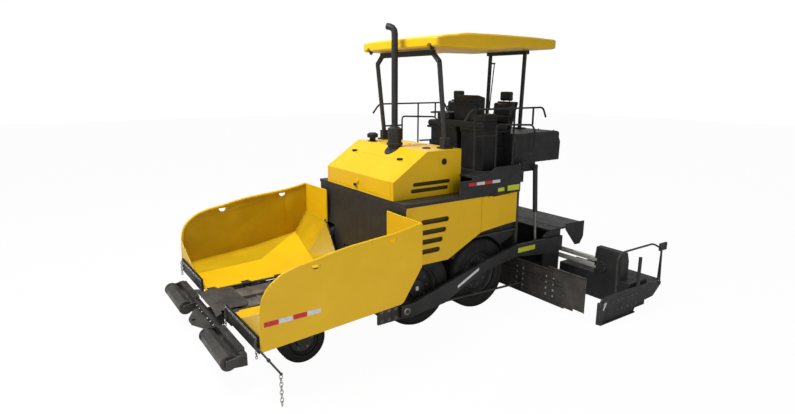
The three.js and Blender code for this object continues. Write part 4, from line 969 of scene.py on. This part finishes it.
console = [column(-0.12, 0.34), column(0.44, 0.93),
           ease(block("shelf", (-0.13, 0.855, 2.59), (0.94, 1.145, 2.695)), 0.018),
           ease(block("pod", (-0.13, 0.88, 2.69), (0.15, 1.14, 2.8)), 0.022),
           ease(block("pod", (0.66, 0.87, 2.69), (0.94, 1.14, 2.8)), 0.022),
           ease(sawn("screen_box", [(0.96, 2.69), (1.14, 2.69), (1.14, 3.03), (1.0, 3.068), (0.94, 3.02)],
                     0, 0.19, 0.68), 0.014),
           ease(block("hood_of_screen", (0.17, 0.92, 2.93), (0.7, 1.02, 2.955)), 0.006)]
fit(joined("console_shell", console), "machine", moulding, "moulded_black", "control_console")

# %% Levers and buttons
levers = []
for x in (-0.07, 0.01, 0.09, 0.72, 0.8, 0.88):
    levers.append(rod("lever", (x, 0.99, 2.8), (x, 0.975, 2.875), 0.005, sides=12))
    levers.append(ball("knob", (x, 0.974, 2.88), 0.014, 16, 10))
fit(joined("console_levers", levers), "machine", black, "moulded_black")
buttons = [turned("button", [(0, 0), (0.012, 0), (0.012, 0.005), (0.009, 0.008), (0, 0.008)], (x, y, 2.799),
                  UP, 16)
           for x in (-0.09, -0.03, 0.03, 0.09, 0.7, 0.76, 0.82, 0.88) for y in (1.05, 1.1)]
fit(joined("console_buttons", buttons), "machine", steel, "moulded_black")

# %% Roof lamps
lens = turned("lens", [(0, 0), (0.04, 0), (0.044, 0.01), (0.036, 0.02), (0, 0.026)], (0.763, 0.07, 3.7),
              AHEAD, 28)
fit_pair(lens, "roof_lamp_{}", "machine", black, "moulded_black")

# %% [markdown]
# The roof is one moulding with big soft edges and a swell along its middle. A block is divided finely,
# its points are crowded towards the edges, pulled onto a rounded box, and then bent to the side view.

# %% Roof
TOP_LINE = [(0.008, 3.85), (0.25, 3.885), (0.6, 3.922), (1.1, 3.924), (1.7, 3.92), (2.35, 3.905)]
BOTTOM_LINE = [(0.008, 3.7), (0.3, 3.694), (0.85, 3.684), (1.15, 3.702), (1.55, 3.738), (2.35, 3.742)]


def height(line, y):
    for (y_a, z_a), (y_b, z_b) in zip(line, line[1:]):
        if y <= y_b:
            t = max(0.0, (y - y_a) / (y_b - y_a))
            t = t * t * (3 - 2 * t)
            return z_a + (z_b - z_a) * t
    return line[-1][1]


roof = block("roof_shell", (-1, -1, -1), (1, 1, 1))
opened(roof)
bpy.ops.mesh.subdivide(number_cuts=39)
closed()
HALF, ROUND = Vector((0.93, 1.171, 0.121)), 0.055
for corner in roof.data.vertices:
    at = Vector([math.sin(math.pi / 2 * v) * h for v, h in zip(corner.co, HALF)])
    core = Vector([min(max(v, -(h - ROUND)), h - ROUND) for v, h in zip(at, HALF)])
    if (at - core).length > 1e-9:
        at = core + (at - core).normalized() * ROUND
    y, share = at.y + 1.179, (at.z + HALF.z) / (2 * HALF.z)
    low, high = height(BOTTOM_LINE, y), height(TOP_LINE, y)
    high -= 0.018 * (at.x / HALF.x) ** 4
    corner.co = (at.x, y, low + (high - low) * share)
tidy(roof)
for x in (-0.763, 0.763):
    carve(roof, rod("lamp_recess", (x, -0.05, 3.694), (x, 0.105, 3.694), 0.062, sides=32))
smooth(roof, 40)
fit(roof, "machine", yellow, "yellow_paint", "roof")

# %% Dark blocks in the open ends of the rear shell
# Each end of the rear shell is open and dark inside. A dark-painted block fills it and stands for that shade:
# painted shade.
fillers = ease(block("filler", (0.69, 1.458, 2.06), (0.995, 2.484, 2.5)), 0.035, 3)
fit_pair(fillers, "shell_end_{}", "machine", dark, "dark_paint")

# %% Shell bolts
shell_bolts = [((x, 1.8 + 0.15 * k, 2.508), UP) for x in (0.93, 0.62) for k in range(5)]
bolt_pair("shell_bolts_{}", "machine", shell_bolts, 0.01)

# %% [markdown]
# ## Screed
#
# The walkway is gritted plate, so it is greyer and rougher than the painted box below it. The slide
# tubes are chromed where they run in their bushes, which is done by giving only their faces chrome.

# %% Walkway
tread = ease(block("tread", (-1.225, 2.345, 0.9895), (1.225, 2.945, 0.9945)), 0.002)
strakes = [block("strake", (-1.2, 2.38 + 0.075 * k, 0.994), (1.2, 2.392 + 0.075 * k, 0.9975))
           for k in range(8)]
fit(joined("walkway_tread", [tread] + strakes), "screed", walk_grey, "bare_steel")

# %% Chromed slide tubes and bracket flanges
for side, y in (("left", 2.392), ("right", 2.478)):
    piece = bpy.data.objects[f"extension_{side}_finished"]
    piece.data.materials.append(chrome)
    for face in piece.data.polygons:
        away = min(math.hypot(face.center.y - y, face.center.z - z) for z in (0.64, 0.53))
        if abs(face.center.x) < 1.9 and away < 0.0385:
            face.material_index = 1
FLANGE = [(0, 0), (0.088, 0), (0.092, 0.003), (0.088, 0.007), (0, 0.007)]
flange = turned("slide_flange", FLANGE, (2.02, 2.3535, 0.56), AHEAD, 36)
fit(flange, "extension_left_slide", dark, "dark_paint")
flange_bolts = bolted("flange_bolts", ring((2.02, 2.3465, 0.56), 0.07, 8, AHEAD), 0.005)
fit(flange_bolts, "extension_left_slide", steel, "bare_steel")

# %% Retaining plates of the auger
PANELS = (
    (0.66, 1.22, 0.085, 0.585, 1.551),
    (1.18, 1.78, 0.1, 0.6, 1.545),
    (1.72, 2.36, 0.125, 0.64, 1.551),
)
panels = []
for x_low, x_high, z_low, z_high, y in PANELS:
    panels.append(block("panel", (x_low, y, z_low), (x_high, y + 0.006, z_high)))
    panels.append(block("lip", (x_low, y - 0.024, z_high - 0.006), (x_high, y + 0.006, z_high)))
    panels.append(block("edge", (x_high - 0.012, y - 0.01, z_low), (x_high, y + 0.006, z_high)))
fit_pair(ease(joined("panels", panels), 0.003), "auger_panels_{}", "machine", plate_grey, "dark_paint")
columns = [((x, 1.5445, z), AHEAD) for x in (1.1, 1.225, 1.68, 1.81) for z in (0.2, 0.29, 0.38, 0.47)]
bolt_pair("auger_panel_bolts_{}", "machine", columns, 0.013, zinc)

# %% End gates
slot = [(1.64, 0.235), (1.7, 0.33), (1.725, 0.315), (1.665, 0.22)]
pockets = [block("pocket", (2.582, y_low, 0.12), (2.6, y_high, 0.34))
           for y_low, y_high in ((1.83, 2.02), (2.06, 2.25), (2.29, 2.46), (2.5, 2.62))]
gate = softened("end_gate_left", 0.003, cuts=pockets + [sawn("slot", slot, 0, 2.578, 2.6)])
fit_pair(gate, "gate_{}", "extension_{}_slide", dark, "dark_paint", "end_gate_{}")
fit_pair(ease(sawn("gate_slot", slot, 0, 2.57, 2.587), 0.001, 1), "gate_slot_{}", "extension_{}_slide",
         white_tape, "dark_paint")
gate_bolts = [((2.5825, y, z), LEFT) for y in (1.86, 1.99, 2.09, 2.22, 2.32, 2.43) for z in (0.16, 0.3)]
bolt_pair("gate_bolts_{}", "extension_{}_slide", gate_bolts, 0.007)

# %% Screed side bolts
side_bolts = [((1.2345, y, z), LEFT) for y in (2.03, 2.15, 2.27) for z in (0.18, 0.34, 0.5)]
bolt_pair("screed_bolts_{}", "screed", side_bolts, 0.012)
